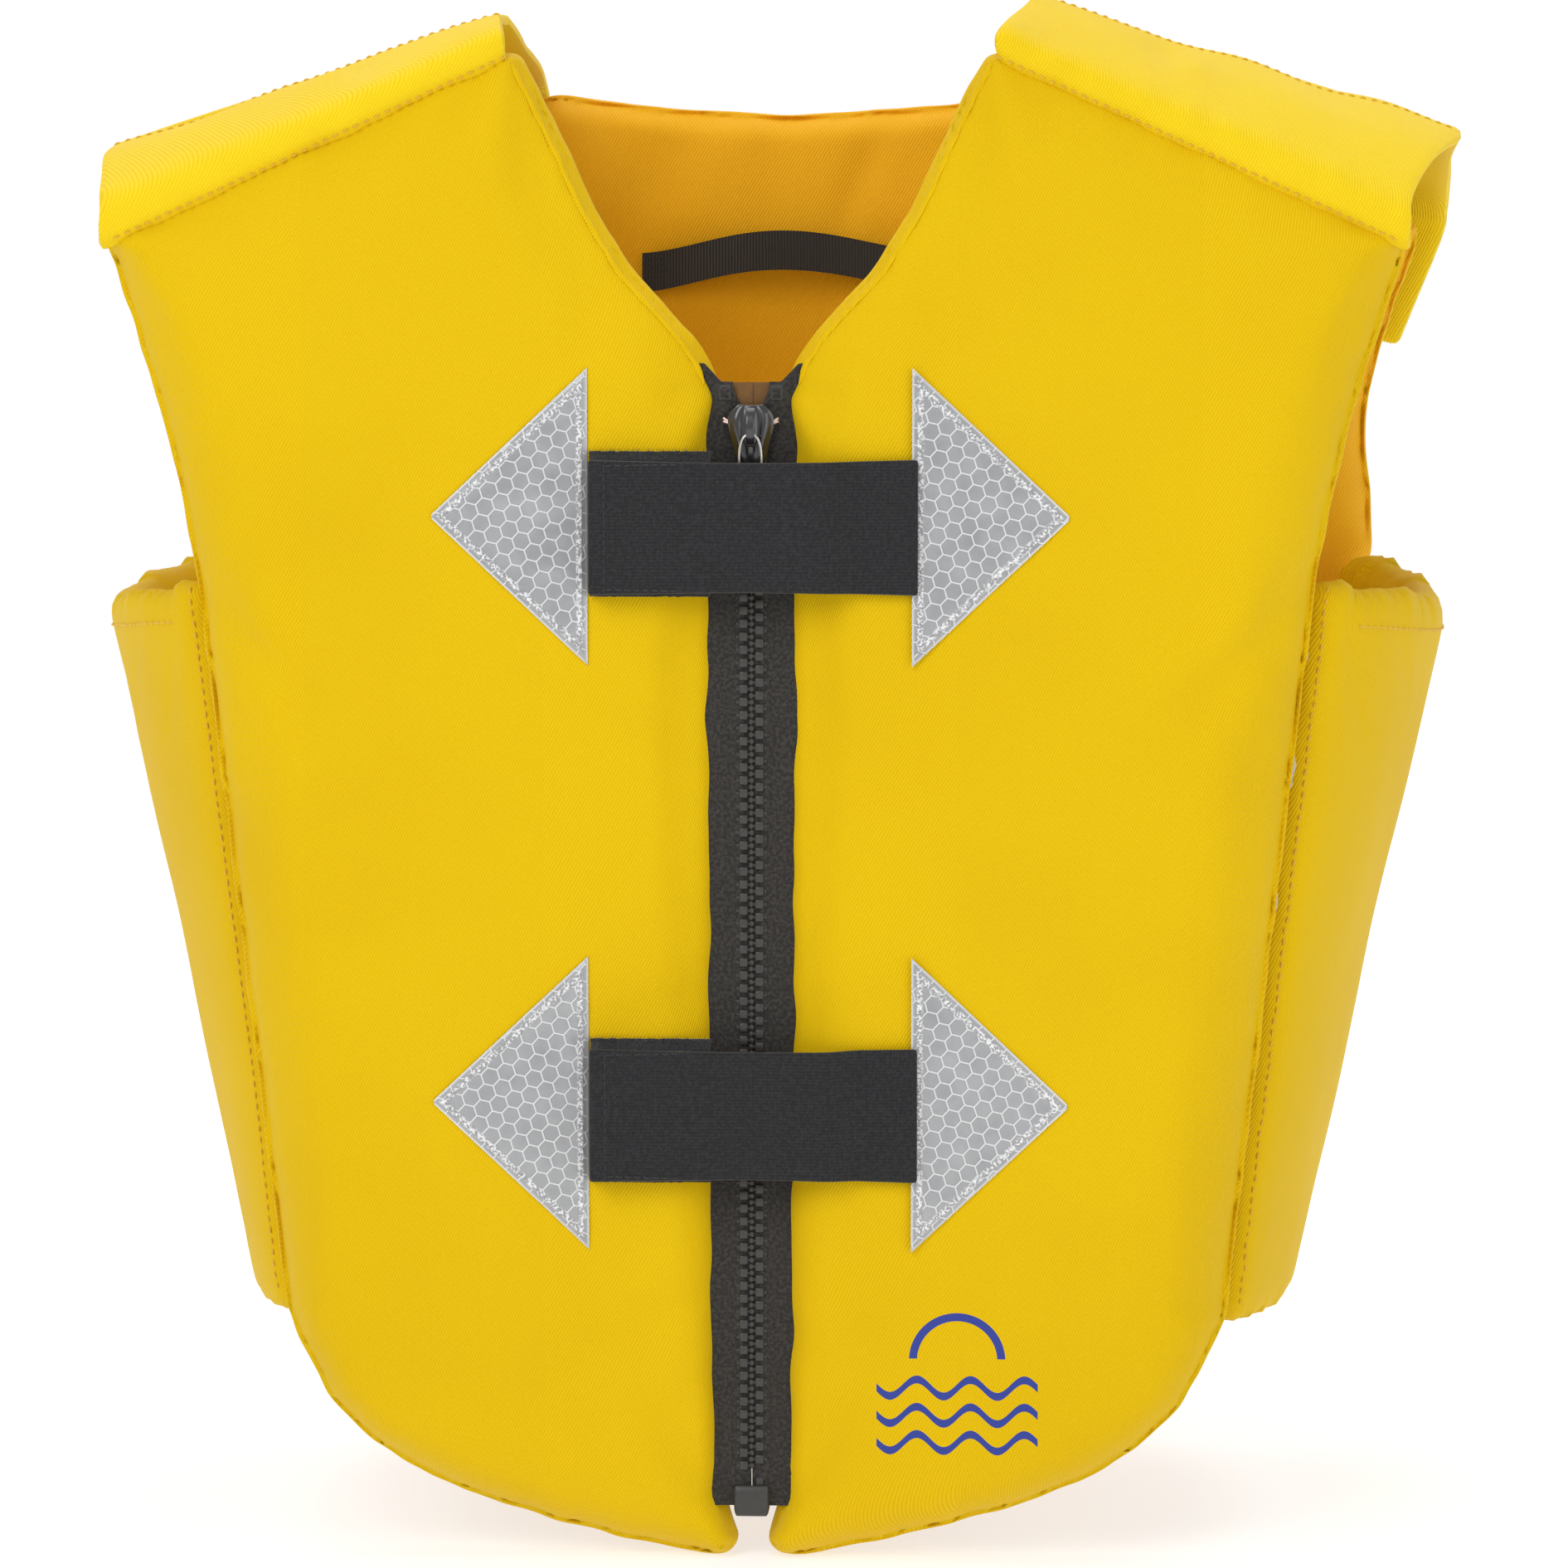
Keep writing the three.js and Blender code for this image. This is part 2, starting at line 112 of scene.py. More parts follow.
def paper_sweep():
    half_width, front, bend_start, radius, height = 6.0, -5.0, 2.0, 1.0, 5.0
    profile = [(front, 0.0), (bend_start, 0.0)]
    steps = 12
    for i in range(1, steps + 1):
        turn = math.pi / 2 * i / steps
        profile.append((bend_start + radius * math.sin(turn), radius * (1 - math.cos(turn))))
    profile.append((bend_start + radius, height))
    base = cad_low.z - 0.0006
    points = [(x, y, z + base) for y, z in profile for x in (-half_width, half_width)]
    faces = [(2 * i, 2 * i + 1, 2 * i + 3, 2 * i + 2) for i in range(len(profile) - 1)]
    mesh = bpy.data.meshes.new("paper")
    mesh.from_pydata(points, [], faces)
    mesh.shade_smooth()
    floor = bpy.data.objects.new("paper", mesh)
    bpy.context.scene.collection.objects.link(floor)
    paper = bpy.data.materials.new("paper")
    paper.use_nodes = True
    shader = paper.node_tree.nodes["Principled BSDF"]
    shader.inputs["Base Color"].default_value = (0.5, 0.5, 0.5, 1)
    shader.inputs["Roughness"].default_value = 0.9
    shader.inputs["Emission Color"].default_value = (1, 1, 1, 1)
    shader.inputs["Emission Strength"].default_value = 0.60
    mesh.materials.append(paper)


studio()
paper_sweep()


# ---------------------------------------------------------------- Yellow cover cloth
# Coated polyester twill, dyed bright yellow, with its diagonal ribs about 0.8 mm apart.
# It is cut and sewn over every foam board, and the print on the left half is inked into it.
class Shade:
    """A socket in a finish's nodes; arithmetic written on it becomes Math nodes."""

    def __init__(self, finish, socket):
        self.finish, self.socket = finish, socket

    def calc(self, operation, *values):
        made = self.finish.node("ShaderNodeMath", {"operation": operation}, dict(enumerate(values)))
        return Shade(self.finish, made.outputs[0])

    def __add__(self, other): return self.calc("ADD", self, other)
    def __radd__(self, other): return self.calc("ADD", other, self)
    def __sub__(self, other): return self.calc("SUBTRACT", self, other)
    def __rsub__(self, other): return self.calc("SUBTRACT", other, self)
    def __mul__(self, other): return self.calc("MULTIPLY", self, other)
    def __rmul__(self, other): return self.calc("MULTIPLY", other, self)
    def __lt__(self, other): return self.calc("LESS_THAN", self, other)
    def __gt__(self, other): return self.calc("GREATER_THAN", self, other)
    def __abs__(self): return self.calc("ABSOLUTE", self)
    def sine(self): return self.calc("SINE", self)
    def root(self): return self.calc("SQRT", self)
    def fraction(self): return self.calc("FRACT", self)
    def least(self, other): return self.calc("MINIMUM", self, other)
    def most(self, other): return self.calc("MAXIMUM", self, other)

    def between(self, low, high):
        """0 below low, 1 above high and smooth in between."""
        made = self.finish.node("ShaderNodeMapRange", {"interpolation_type": "SMOOTHSTEP"},
                                {"Value": self, "From Min": low, "From Max": high})
        return Shade(self.finish, made.outputs["Result"])


class Finish:
    """A material; keyword arguments set the shader's own sockets."""

    def __init__(self, name, color, roughness, **sockets):
        self.material = bpy.data.materials.new(name)
        self.material.use_nodes = True
        self.tree = self.material.node_tree
        self.shader = self.tree.nodes["Principled BSDF"]
        self.shader.inputs["Base Color"].default_value = (*color, 1)
        self.shader.inputs["Roughness"].default_value = roughness
        for name, value in sockets.items():
            self.shader.inputs[name.replace("_", " ")].default_value = value
        where = self.node("ShaderNodeTexCoord", {}, {})
        self.point = Shade(self, where.outputs["Object"])
        parts = self.node("ShaderNodeSeparateXYZ", {}, {0: self.point})
        self.x, self.y, self.z = (Shade(self, parts.outputs[i]) for i in range(3))

    def node(self, kind, settings, inputs):
        made = self.tree.nodes.new(kind)
        for key, value in settings.items():
            setattr(made, key, value)
        for key, value in inputs.items():
            if isinstance(value, Shade):
                self.tree.links.new(value.socket, made.inputs[key])
            else:
                made.inputs[key].default_value = value
        return made

    def noise(self, scale, detail=2.0, point=None):
        """Noise from 0 to 1 with that many cells to the metre."""
        inputs = {"Vector": point or self.point, "Scale": scale, "Detail": detail}
        return Shade(self, self.node("ShaderNodeTexNoise", {}, inputs).outputs[0])

    def mix(self, share, low, high):
        """The colour low where share is 0 and high where it is 1."""
        wide = lambda c: c if isinstance(c, Shade) else (*c, 1)
        inputs = {0: share, 6: wide(low), 7: wide(high)}
        made = self.node("ShaderNodeMix", {"data_type": "RGBA"}, inputs)
        return Shade(self, made.outputs[2])

    def feed(self, name, value):
        self.tree.links.new(value.socket, self.shader.inputs[name])

    def raise_surface(self, height, depth):
        """A bump of that depth in metres where height runs from 0 to 1."""
        made = self.node("ShaderNodeBump", {}, {"Strength": 1.0, "Distance": depth, "Height": height})
        self.tree.links.new(made.outputs[0], self.shader.inputs["Normal"])

    def wave(self, value, pitch):
        """A ripple from 0 to 1 that repeats each pitch along value."""
        return (value * (2 * math.pi / pitch)).sine() * 0.5 + 0.5


YELLOW = (0.80, 0.535, 0.002)
YELLOW_DEEP = (0.62, 0.365, 0.001)
INK = (0.010, 0.045, 0.33)
TWILL_PITCH = 0.00080


def cover_cloth(name, lay, color=YELLOW, deep=YELLOW_DEEP, marks=None, outer_from=None):
    """lay gives the cloth's own width and length at a place, so that its ribs run straight.
    When outer_from is given, color and deep paint the shade on the inner side, and beyond that depth the
    colour is the plain outer yellow."""
    cloth = Finish(name, color, 0.55, Specular_IOR_Level=0.16, Sheen_Weight=0.05, Sheen_Roughness=0.5,
                   Sheen_Tint=(1.0, 0.85, 0.35, 1), Specular_Tint=(1.0, 0.88, 0.45, 1))
    drift = (cloth.noise(40, 1) - 0.5) * 0.00030
    wide, tall = lay(cloth)
    across = wide * 0.87 - tall * 0.5 + drift
    along = wide * 0.5 + tall * 0.87
    rib = cloth.wave(across, TWILL_PITCH)
    yarn = cloth.wave(along + cloth.noise(900, 1) * 0.0006, TWILL_PITCH * 0.62)
    body = cloth.noise(14, 3)
    shade = (1 - rib) * 0.46 + (1 - yarn) * 0.08 + body.between(0.35, 0.75) * 0.16
    if outer_from is not None:
        outer = cloth.y.between(outer_from - 0.0010, outer_from + 0.0010)
        color, deep = cloth.mix(outer, color, YELLOW), cloth.mix(outer, deep, YELLOW_DEEP)
    dyed = cloth.mix(shade, color, deep)
    cloth.feed("Base Color", marks(cloth, dyed) if marks else dyed)
    cloth.feed("Roughness", 0.50 + body * 0.10 + (1 - rib) * 0.08)
    cloth.raise_surface(rib * 0.75 + yarn * 0.25, 0.00013)
    return cloth.material


def laid_on_front(cloth):
    """Flat on the chest; it turns back round the zip edge one way and the outer edge the other."""
    turned = ((abs(cloth.x) - 0.085) * 32).least(1).most(-1)
    outwards = (cloth.x > 0) * 2 - 1
    return cloth.x + (cloth.y - cad_low.y) * turned * outwards, cloth.z


def laid_on_side(cloth):
    return cloth.y + abs(cloth.x), cloth.z


def laid_over_shoulder(cloth):
    return cloth.x, cloth.z + abs(cloth.y)


def laid_on_back(cloth):
    return cloth.x, cloth.z


# Three plain waves under a half sun are printed low on the wearer's left half.
PRINT = {"x": 0.0540, "z": 0.0320, "half": 0.021, "crest": 0.0022, "length": 0.014, "line": 0.00105}
SUN_RADIUS = 0.0115
ROW = 0.0072  # from one wave to the next


def waves_and_sun(cloth, dyed):
    x, z = cloth.x - PRINT["x"], cloth.z - PRINT["z"]
    inside = (abs(x) < PRINT["half"]) * (cloth.y < cad_low.y * 0.6)
    ripple = (x * (2 * math.pi / PRINT["length"])).sine() * PRINT["crest"]
    strokes = [abs(z - ripple - row * ROW) < PRINT["line"] for row in range(3)]
    top = 3 * ROW
    radius = (x * x + (z - top) * (z - top)).root()
    ring = (abs(radius - SUN_RADIUS) < PRINT["line"]) * (z > top + 0.0005)
    inked = strokes[0].most(strokes[1]).most(strokes[2]).most(ring) * inside
    return cloth.mix(inked * 0.96, dyed, INK)


yellow_cloth = cover_cloth("yellow_twill", laid_on_front)
printed_cloth = cover_cloth("yellow_twill_printed", laid_on_front, marks=waves_and_sun)
side_cloth = cover_cloth("yellow_twill_sides", laid_on_side)
# The shoulders get a paler, lighter copy of the yellow: painted light that the tops of the shoulders catch.
shoulder_cloth_painted_lighter = cover_cloth("yellow_twill_shoulders_painted_lighter", laid_over_shoulder,
                             (0.90, 0.650, 0.010), (0.72, 0.460, 0.006))
# The back's inner face is a deeper orange copy of the yellow: painted shade inside the vest; its outer face
# stays the plain yellow.
back_cloth_painted_shade_inside = cover_cloth("yellow_twill_back_painted_shade_inside", laid_on_back,
                           (0.88, 0.460, 0.012), (0.72, 0.325, 0.008),
                           outer_from=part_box("back_cover")[0].y + 0.014)


# ---------------------------------------------------------------- Front halves and back
# Flat boards of soft foam about 24 mm thick, each in a cover sewn edge to edge. The cloth is
# pulled tight, so each board is softly crowned, rolls over at its edges and puckers at its seams.
def put(name, mesh, material, sharp=50):
    """A new object from a mesh, smooth except over folds sharper than that."""
    mesh.materials.clear()
    mesh.materials.append(material)
    mesh.shade_smooth()
    mesh.set_sharp_from_angle(angle=math.radians(sharp))
    made = bpy.data.objects.new(name, mesh)
    bpy.context.scene.collection.objects.link(made)
    return made


def mesh_of(bm, name="mesh"):
    mesh = bpy.data.meshes.new(name)
    bmesh.ops.recalc_face_normals(bm, faces=bm.faces)
    bm.to_mesh(mesh)
    bm.free()
    return mesh


def dress(node, finish):
    """Gives a plain piece of the frame its finish."""
    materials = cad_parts[node].data.materials
    materials.clear()
    materials.append(finish)


def applied(thing):
    """Takes the object's modifiers into its mesh."""
    graph = bpy.context.evaluated_depsgraph_get()
    baked = bpy.data.meshes.new_from_object(thing.evaluated_get(graph))
    finish = thing.data.materials[0]
    thing.modifiers.clear()
    thing.data = baked
    baked.materials.clear()
    baked.materials.append(finish)
    baked.shade_smooth()
    return thing


def remesh(thing, voxel):
    cells = thing.modifiers.new("cells", "REMESH")
    cells.mode, cells.voxel_size = "VOXEL", voxel
    return applied(thing)


def relax(thing, rounds):
    smooth = thing.modifiers.new("relax", "SMOOTH")
    smooth.factor, smooth.iterations = 0.5, rounds
    return applied(thing)


def refine(thing, levels=1):
    finer = thing.modifiers.new("finer", "SUBSURF")
    finer.levels = finer.render_levels = levels
    return applied(thing)


CLOTH_FRAMES = 20


def swell(thing, held, cap, pressure=4.0):
    """Blows a cover up round its foam; held is 1 for each point that a seam holds."""
    rest = [v.co.copy() for v in thing.data.vertices]
    group = thing.vertex_groups.new(name="sewn")
    for i, share in enumerate(held):
        group.add([i], share, "REPLACE")
    cloth = thing.modifiers.new("cloth", "CLOTH")
    settings = cloth.settings
    settings.quality = 5
    settings.mass = 0.25
    settings.tension_stiffness = settings.compression_stiffness = 12
    settings.shear_stiffness = 4
    settings.bending_stiffness = 0.4
    settings.use_pressure = True
    settings.uniform_pressure_force = pressure
    settings.vertex_group_mass = "sewn"
    settings.effector_weights.gravity = 0
    cloth.collision_settings.use_collision = False
    cloth.point_cache.frame_start, cloth.point_cache.frame_end = 1, CLOTH_FRAMES
    for number in range(1, CLOTH_FRAMES + 1):
        bpy.context.scene.frame_set(number)
    applied(thing)
    bpy.context.scene.frame_set(1)
    for vertex, start in zip(thing.data.vertices, rest):
        moved = vertex.co - start
        if moved.length > cap:
            vertex.co = start + moved * (cap / moved.length)
    return thing


def rumple(thing, shape):
    """Moves each point along its normal by shape(point, normal) metres."""
    moves = [v.co + v.normal * shape(v.co, v.normal) for v in thing.data.vertices]
    for vertex, place in zip(thing.data.vertices, moves):
        vertex.co = place
    thing.data.update()
    return thing


def tree_of(thing):
    mesh = thing.data
    return BVHTree.FromPolygons([v.co for v in mesh.vertices], [p.vertices for p in mesh.polygons])


def core(name, thing, node, body, depth):
    """The foam inside a finished cover: the same shape that much smaller all round."""
    mesh = thing.data.copy()
    places = [v.co - v.normal * depth for v in mesh.vertices]
    for vertex, place in zip(mesh.vertices, places):
        vertex.co = place
    foam = put(name, mesh, foam_finish)
    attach(foam, body)
    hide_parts(node)


def grained(name, cells, detail, dark, light, rough, relief, spread=None, **sockets):
    """A finish with one fine grain, which sets its shade, its roughness and its relief."""
    made = Finish(name, light, rough[0], **sockets)
    grain = made.noise(cells, detail)
    made.feed("Base Color", made.mix(grain.between(*spread) if spread else grain, dark, light))
    if rough[1]:
        made.feed("Roughness", rough[0] + grain * rough[1])
    if relief:
        made.raise_surface(grain, relief)
    return made.material


foam_finish = grained("closed_cell_foam", 1400, 2, (0.66, 0.64, 0.57), (0.50, 0.48, 0.42), (0.9, 0), 0.0003)


def flat_outline(node, depth):
    """The outline, in x and z, of the node's flat face that lies at that depth."""
    bm = bmesh.new()
    bm.from_mesh(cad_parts[node].data)
    bmesh.ops.remove_doubles(bm, verts=bm.verts, dist=1e-6)
    bm.normal_update()
    flat = {f for f in bm.faces if all(abs(v.co.y - depth) < 1e-5 for v in f.verts)}
    after = {}
    for face in flat:
        for loop in face.loops:
            if not any(f in flat for f in loop.edge.link_faces if f is not face):
                after[loop.vert] = loop.link_loop_next.vert
    start = max(after, key=lambda v: v.co.x)
    ring = [start]
    while after[ring[-1]] is not start:
        ring.append(after[ring[-1]])
    points = [(v.co.x, v.co.z) for v in ring]
    bm.free()
    return points


def closely(points, step):
    """The same closed outline with a point about every step, its corners kept."""
    found = []
    for (x0, z0), (x1, z1) in zip(points, points[1:] + points[:1]):
        count = max(1, round(math.hypot(x1 - x0, z1 - z0) / step))
        found += [(x0 + (x1 - x0) * i / count, z0 + (z1 - z0) * i / count) for i in range(count)]
    return found


class Rim:
    """The edge of a board: how far a place is from it, and how far its face rolls over there."""

    def __init__(self, outline, roll_at):
        self.points = closely(outline, 0.001)
        self.rolls = [roll_at(abs(x), z) for x, z in self.points]
        self.near = kdtree.KDTree(len(self.points))
        for i, (x, z) in enumerate(self.points):
            self.near.insert((x, 0, z), i)
        self.near.balance()

    def distance(self, point):
        return self.near.find((point.x, 0, point.z))[2]

    def roll(self, point):
        """Its distance from the rim, the roll's reach and the share of depth left at the rim."""
        found = self.near.find_n((point.x, 0, point.z), 9)
        rolls = [self.rolls[i] for _, i, _ in found]
        return found[0][2], sum(r[0] for r in rolls) / 9, sum(r[1] for r in rolls) / 9


def grown(outline, by):
    """The outline moved outwards, because relaxing the mesh draws its edge in."""
    count = len(outline)
    area = sum(outline[i - 1][0] * outline[i][1] - outline[i][0] * outline[i - 1][1] for i in range(count))
    turn = 1 if area > 0 else -1
    moved = []
    for i, (x, z) in enumerate(outline):
        before, after = outline[i - 1], outline[(i + 1) % count]
        run = Vector((after[0] - before[0], after[1] - before[1])).normalized()
        moved.append((x + run.y * by * turn, z - run.x * by * turn))
    return moved


def board_mesh(outline, near, far):
    bm = bmesh.new()
    rings = [[bm.verts.new((x, y, z)) for x, z in outline] for y in (near, far)]
    bm.faces.new(rings[0])
    bm.faces.new(rings[1][::-1])
    for i in range(len(outline)):
        j = (i + 1) % len(outline)
        bm.faces.new((rings[0][i], rings[1][i], rings[1][j], rings[0][j]))
    return mesh_of(bm)


VOXEL = 0.0040
SLACK = 0.0040  # the board starts this much inside its cover before it swells
DRAW_IN = 0.0016  # the edge is cut this much larger, because relaxing draws it in
SOFT = 0.0009  # slow swells over the whole face
PUCKER = 0.0006  # tight ones beside a seam


def foam_board(name, body, outline, low_y, high_y, face, cloth, roll_at, wrinkles, nodes):
    """A covered board; face is the y of the side that shows its roll."""
    rim = Rim(outline, roll_at)
    other = high_y if face == low_y else low_y
    cut = grown(closely(outline, 0.004), DRAW_IN)
    piece = put(name, board_mesh(cut, low_y + SLACK, high_y - SLACK), cloth)
    remesh(piece, VOXEL)
    relax(piece, 2)
    middle = (low_y + high_y) / 2
    sewn = [1.0 if rim.distance(v.co) < VOXEL * 0.6 and abs(v.co.y - middle) < 0.005 else 0.0
            for v in piece.data.vertices]
    swell(piece, sewn, SLACK)
    relax(piece, 2)
    refine(piece)
    stretch = 1
    for vertex in piece.data.vertices:
        away, reach, left = rim.roll(vertex.co)
        share = 1 - max(0.0, 1 - away / reach)
        curve = left + (1 - left) * math.sqrt(max(0.0, 1 - (1 - share) ** 2))
        from_other = (middle + (vertex.co.y - middle) * stretch - other) * curve
        vertex.co.y = other + from_other

    def cloth_shape(point, normal):
        near = math.exp(-rim.distance(point) / 0.014)
        soft = noise.noise(point * 17) * SOFT * (1 - near)
        tight = noise.noise(Vector((point.x * 95, point.y * 30, point.z * 95))) * PUCKER * near
        return soft + tight + wrinkles(point, normal)

    piece.data.update()
    rumple(piece, cloth_shape)
    piece.data.set_sharp_from_angle(angle=math.radians(60))
    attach(piece, body)
    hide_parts(nodes[0])
    core(name + "_foam", piece, nodes[1], body, 0.0022)
    return piece, rim


def dent(point, place, reach, depth, along):
    """A soft hollow at a place, stretched along a direction."""
    away = point - Vector(place)
    line = Vector(along).normalized()
    away -= line * away.dot(line) * 0.78
    return -depth * math.exp(-(away.length / reach) ** 2)


SHOULDER_IN = (0.062, 0.393)
SHOULDER_OUT = (0.168, 0.3445)
SEAM_TOP = (0.145, 0.258)
SEAM_FOOT = (0.1225, 0.063)
ZIP_EDGE = 0.0092
ZIP_TOP = 0.305


def front_roll(x, z):
    """How the front's face rolls over at each of its edges: reach and share of depth left."""
    if x < ZIP_EDGE + 0.0015 and z < ZIP_TOP:
        return 0.0050, 0.72
    if z < SEAM_FOOT[1] and x < SEAM_FOOT[0]:
        return 0.0095, 0.50
    if z < SEAM_TOP[1]:
        return 0.0160, 0.30
    share = (x - SHOULDER_IN[0]) / (SHOULDER_OUT[0] - SHOULDER_IN[0])
    line = SHOULDER_IN[1] + (SHOULDER_OUT[1] - SHOULDER_IN[1]) * share
    if x > SHOULDER_IN[0] and z > line - 0.002:
        return 0.0035, 0.88
    if x > 0.1:
        return 0.0120, 0.42
    return 0.0040, 0.80


def front_wrinkles(side):
    low = front_low
    marks = [
        ((side * 0.136, low, 0.245), 0.0075, 0.0024, (side * -1, 0, -1.1)),
        ((side * 0.126, low, 0.243), 0.0060, -0.0012, (side * -1, 0, -0.6)),
        ((side * 0.132, low, 0.206), 0.0110, 0.0014, (side * -0.5, 0, 1)),
        ((side * 0.019, low, 0.222), 0.0080, 0.0013, (1, 0, -0.35)),
        ((side * 0.020, low, 0.146), 0.0090, 0.0013, (1, 0, 0.3)),
        ((side * 0.021, low, 0.064), 0.0080, 0.0014, (1, 0, 0.5)),
        ((side * 0.104, low, 0.062), 0.0120, 0.0010, (1, 0, 0.6)),
        ((side * 0.155, low, 0.322), 0.0090, 0.0010, (side * 0.4, 0, 1)),
    ]

    def shape(point, normal):
        return sum(dent(point, *mark) for mark in marks) if normal.y < -0.2 else 0.0

    return shape


front_low, front_high = (corner.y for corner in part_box("front_cover_left"))
front_pads = {}
for side, word, cloth in ((1, "left", printed_cloth), (-1, "right", yellow_cloth)):
    nodes = (f"front_cover_{word}", f"front_foam_{word}")
    front_pads[word] = foam_board(
        f"front_half_{word}", f"front_{word}", flat_outline(nodes[0], front_low),
        front_low + 0.0006, front_high, front_low + 0.0006, cloth, front_roll,
        front_wrinkles(side), nodes)


def back_roll(x, z):
    if z > 0.37 and x < 0.07:
        return 0.0065, 0.60
    if 0.052 < z < 0.262 and x > 0.11:
        return 0.0040, 0.90  # the side panels are sewn to it here
    return 0.0100, 0.50


def back_wrinkles(point, normal):
    folds = [
        ((0.022, back_low, 0.368), 0.0050, 0.0030, (0.30, 0, 1)),
        ((0.048, back_low, 0.372), 0.0050, 0.0032, (-0.40, 0, 1)),
        ((-0.038, back_low, 0.360), 0.0100, 0.0016, (0.5, 0, 1)),
        ((0.060, back_low, 0.352), 0.0070, 0.0018, (-0.2, 0, 1)),
        ((-0.004, back_low, 0.368), 0.0060, 0.0012, (0.1, 0, 1)),
    ]
    return sum(dent(point, *fold) for fold in folds) if normal.y < 0.3 else 0.0


back_low, back_high = (corner.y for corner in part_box("back_cover"))
foam_board(
    "back_board", "back", flat_outline("back_cover", back_low), back_low, back_high, back_low,
    back_cloth_painted_shade_inside, back_roll, back_wrinkles, ("back_cover", "back_foam"))


# ---------------------------------------------------------------- Side panels
# Thinner boards that bow outwards from each front half's seam round to the back. Each has its
# own sewn cover, hemmed along its upper edge with a row of stitches.
SIDE_SKIN = 0.0017  # the cover over the foam's own shape


def side_panel(word, side):
    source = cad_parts[f"side_foam_{word}"].data.copy()
    piece = put(f"side_panel_{word}", source, side_cloth)
    remesh(piece, 0.0034)
    relax(piece, 3)
    rest = [v.co.copy() for v in piece.data.vertices]
    rims = [1.0 if abs(v.normal.z) > 0.7 else 0.0 for v in piece.data.vertices]
    swell(piece, rims, SIDE_SKIN, 3.0)
    for vertex, start in zip(piece.data.vertices, rest):
        vertex.co = start + (vertex.co - start) * 0.7
    piece.data.update()
    refine(piece)
    bow = 0.0062 if side > 0 else 0.0045

    def outwards(point, normal):
        full = 0.0010 + (bow - 0.0010) * min(1.0, max(0.0, normal.x * side + 0.3))
        return (full + noise.noise(point * 22) * 0.0008
                + noise.noise(Vector((point.x * 60, point.y * 60, point.z * 9))) * 0.0004)

    rumple(piece, outwards)
    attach(piece, "back")
    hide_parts(f"side_cover_{word}")
    core(f"side_panel_{word}_foam", piece, f"side_foam_{word}", "back", 0.0018)
    return piece


side_pads = {word: side_panel(word, side) for side, word in ((1, "left"), (-1, "right"))}


# ---------------------------------------------------------------- Shoulders
# A padded strap of cloth over each shoulder: sewn to the front's upper edge, up over the top,
# and down the back as a flap that closes with hook tape. A stitched ridge parts cap and flap.
def spline(points, t):
    """A smooth curve through the points, t from 0 to 1."""
    last = len(points) - 1
    at = min(last - 1, int(t * last))
    u = t * last - at
    a, b, c, d = (Vector(points[min(last, max(0, at + i))]) for i in (-1, 0, 1, 2))
    return 0.5 * ((2 * b) + (c - a) * u + (2 * a - 5 * b + 4 * c - d) * u * u
                  + (3 * b - a - 3 * c + d) * u ** 3)


def cushion_sheet(name, grid, thick, cloth, crown=0.0):
    """A closed, round-edged pad from a grid of points on its outer face, its normals outwards."""
    rows, columns = len(grid), len(grid[0])
    bm = bmesh.new()
    layers = []
    for under in (0, 1):
        layer = []
        for i, row in enumerate(grid):
            line = []
            for j, p in enumerate(row):
                along = grid[min(rows - 1, i + 1)][j] - grid[max(0, i - 1)][j]
                across = grid[i][min(columns - 1, j + 1)] - grid[i][max(0, j - 1)]
                normal = along.cross(across).normalized()
                u, v = i / (rows - 1), j / (columns - 1)
                full = crown * (1 - (2 * u - 1) ** 4) * (1 - (2 * v - 1) ** 6)
                line.append(bm.verts.new(p - normal * thick if under else p + normal * full))
            layer.append(line)
        layers.append(layer)
    top, low = layers
    for i in range(rows - 1):
        for j in range(columns - 1):
            bm.faces.new((top[i][j], top[i][j + 1], top[i + 1][j + 1], top[i + 1][j]))
            bm.faces.new((low[i][j], low[i + 1][j], low[i + 1][j + 1], low[i][j + 1]))
    for i in range(rows - 1):
        bm.faces.new((top[i][0], top[i + 1][0], low[i + 1][0], low[i][0]))
        bm.faces.new((top[i][-1], low[i][-1], low[i + 1][-1], top[i + 1][-1]))
    for j in range(columns - 1):
        bm.faces.new((top[0][j], low[0][j], low[0][j + 1], top[0][j + 1]))
        bm.faces.new((top[-1][j], top[-1][j + 1], low[-1][j + 1], low[-1][j]))
    return put(name, mesh_of(bm), cloth)


def loft(inner, outer, rows, columns, side):
    """Points between two edges; each edge is a list of places for the left shoulder."""
    grid = []
    for i in range(rows + 1):
        a, b = spline(inner, i / rows), spline(outer, i / rows)
        for p in (a, b):
            settle = min(1.0, max(0.0, (p.y + 0.090) / 0.060)) * min(1.0, max(0.0, (0.095 - p.y) / 0.06))
            p.z -= RIGHT_LOWER * settle if side < 0 else 0
        if side > 0:
            b.x += LEFT_WIDER * min(1.0, max(0.0, (b.y + 0.090) / 0.060))
        line = [a.lerp(b, j / columns) for j in range(columns + 1)]
        grid.append([Vector((p.x * side, p.y, p.z)) for p in line])
    return grid


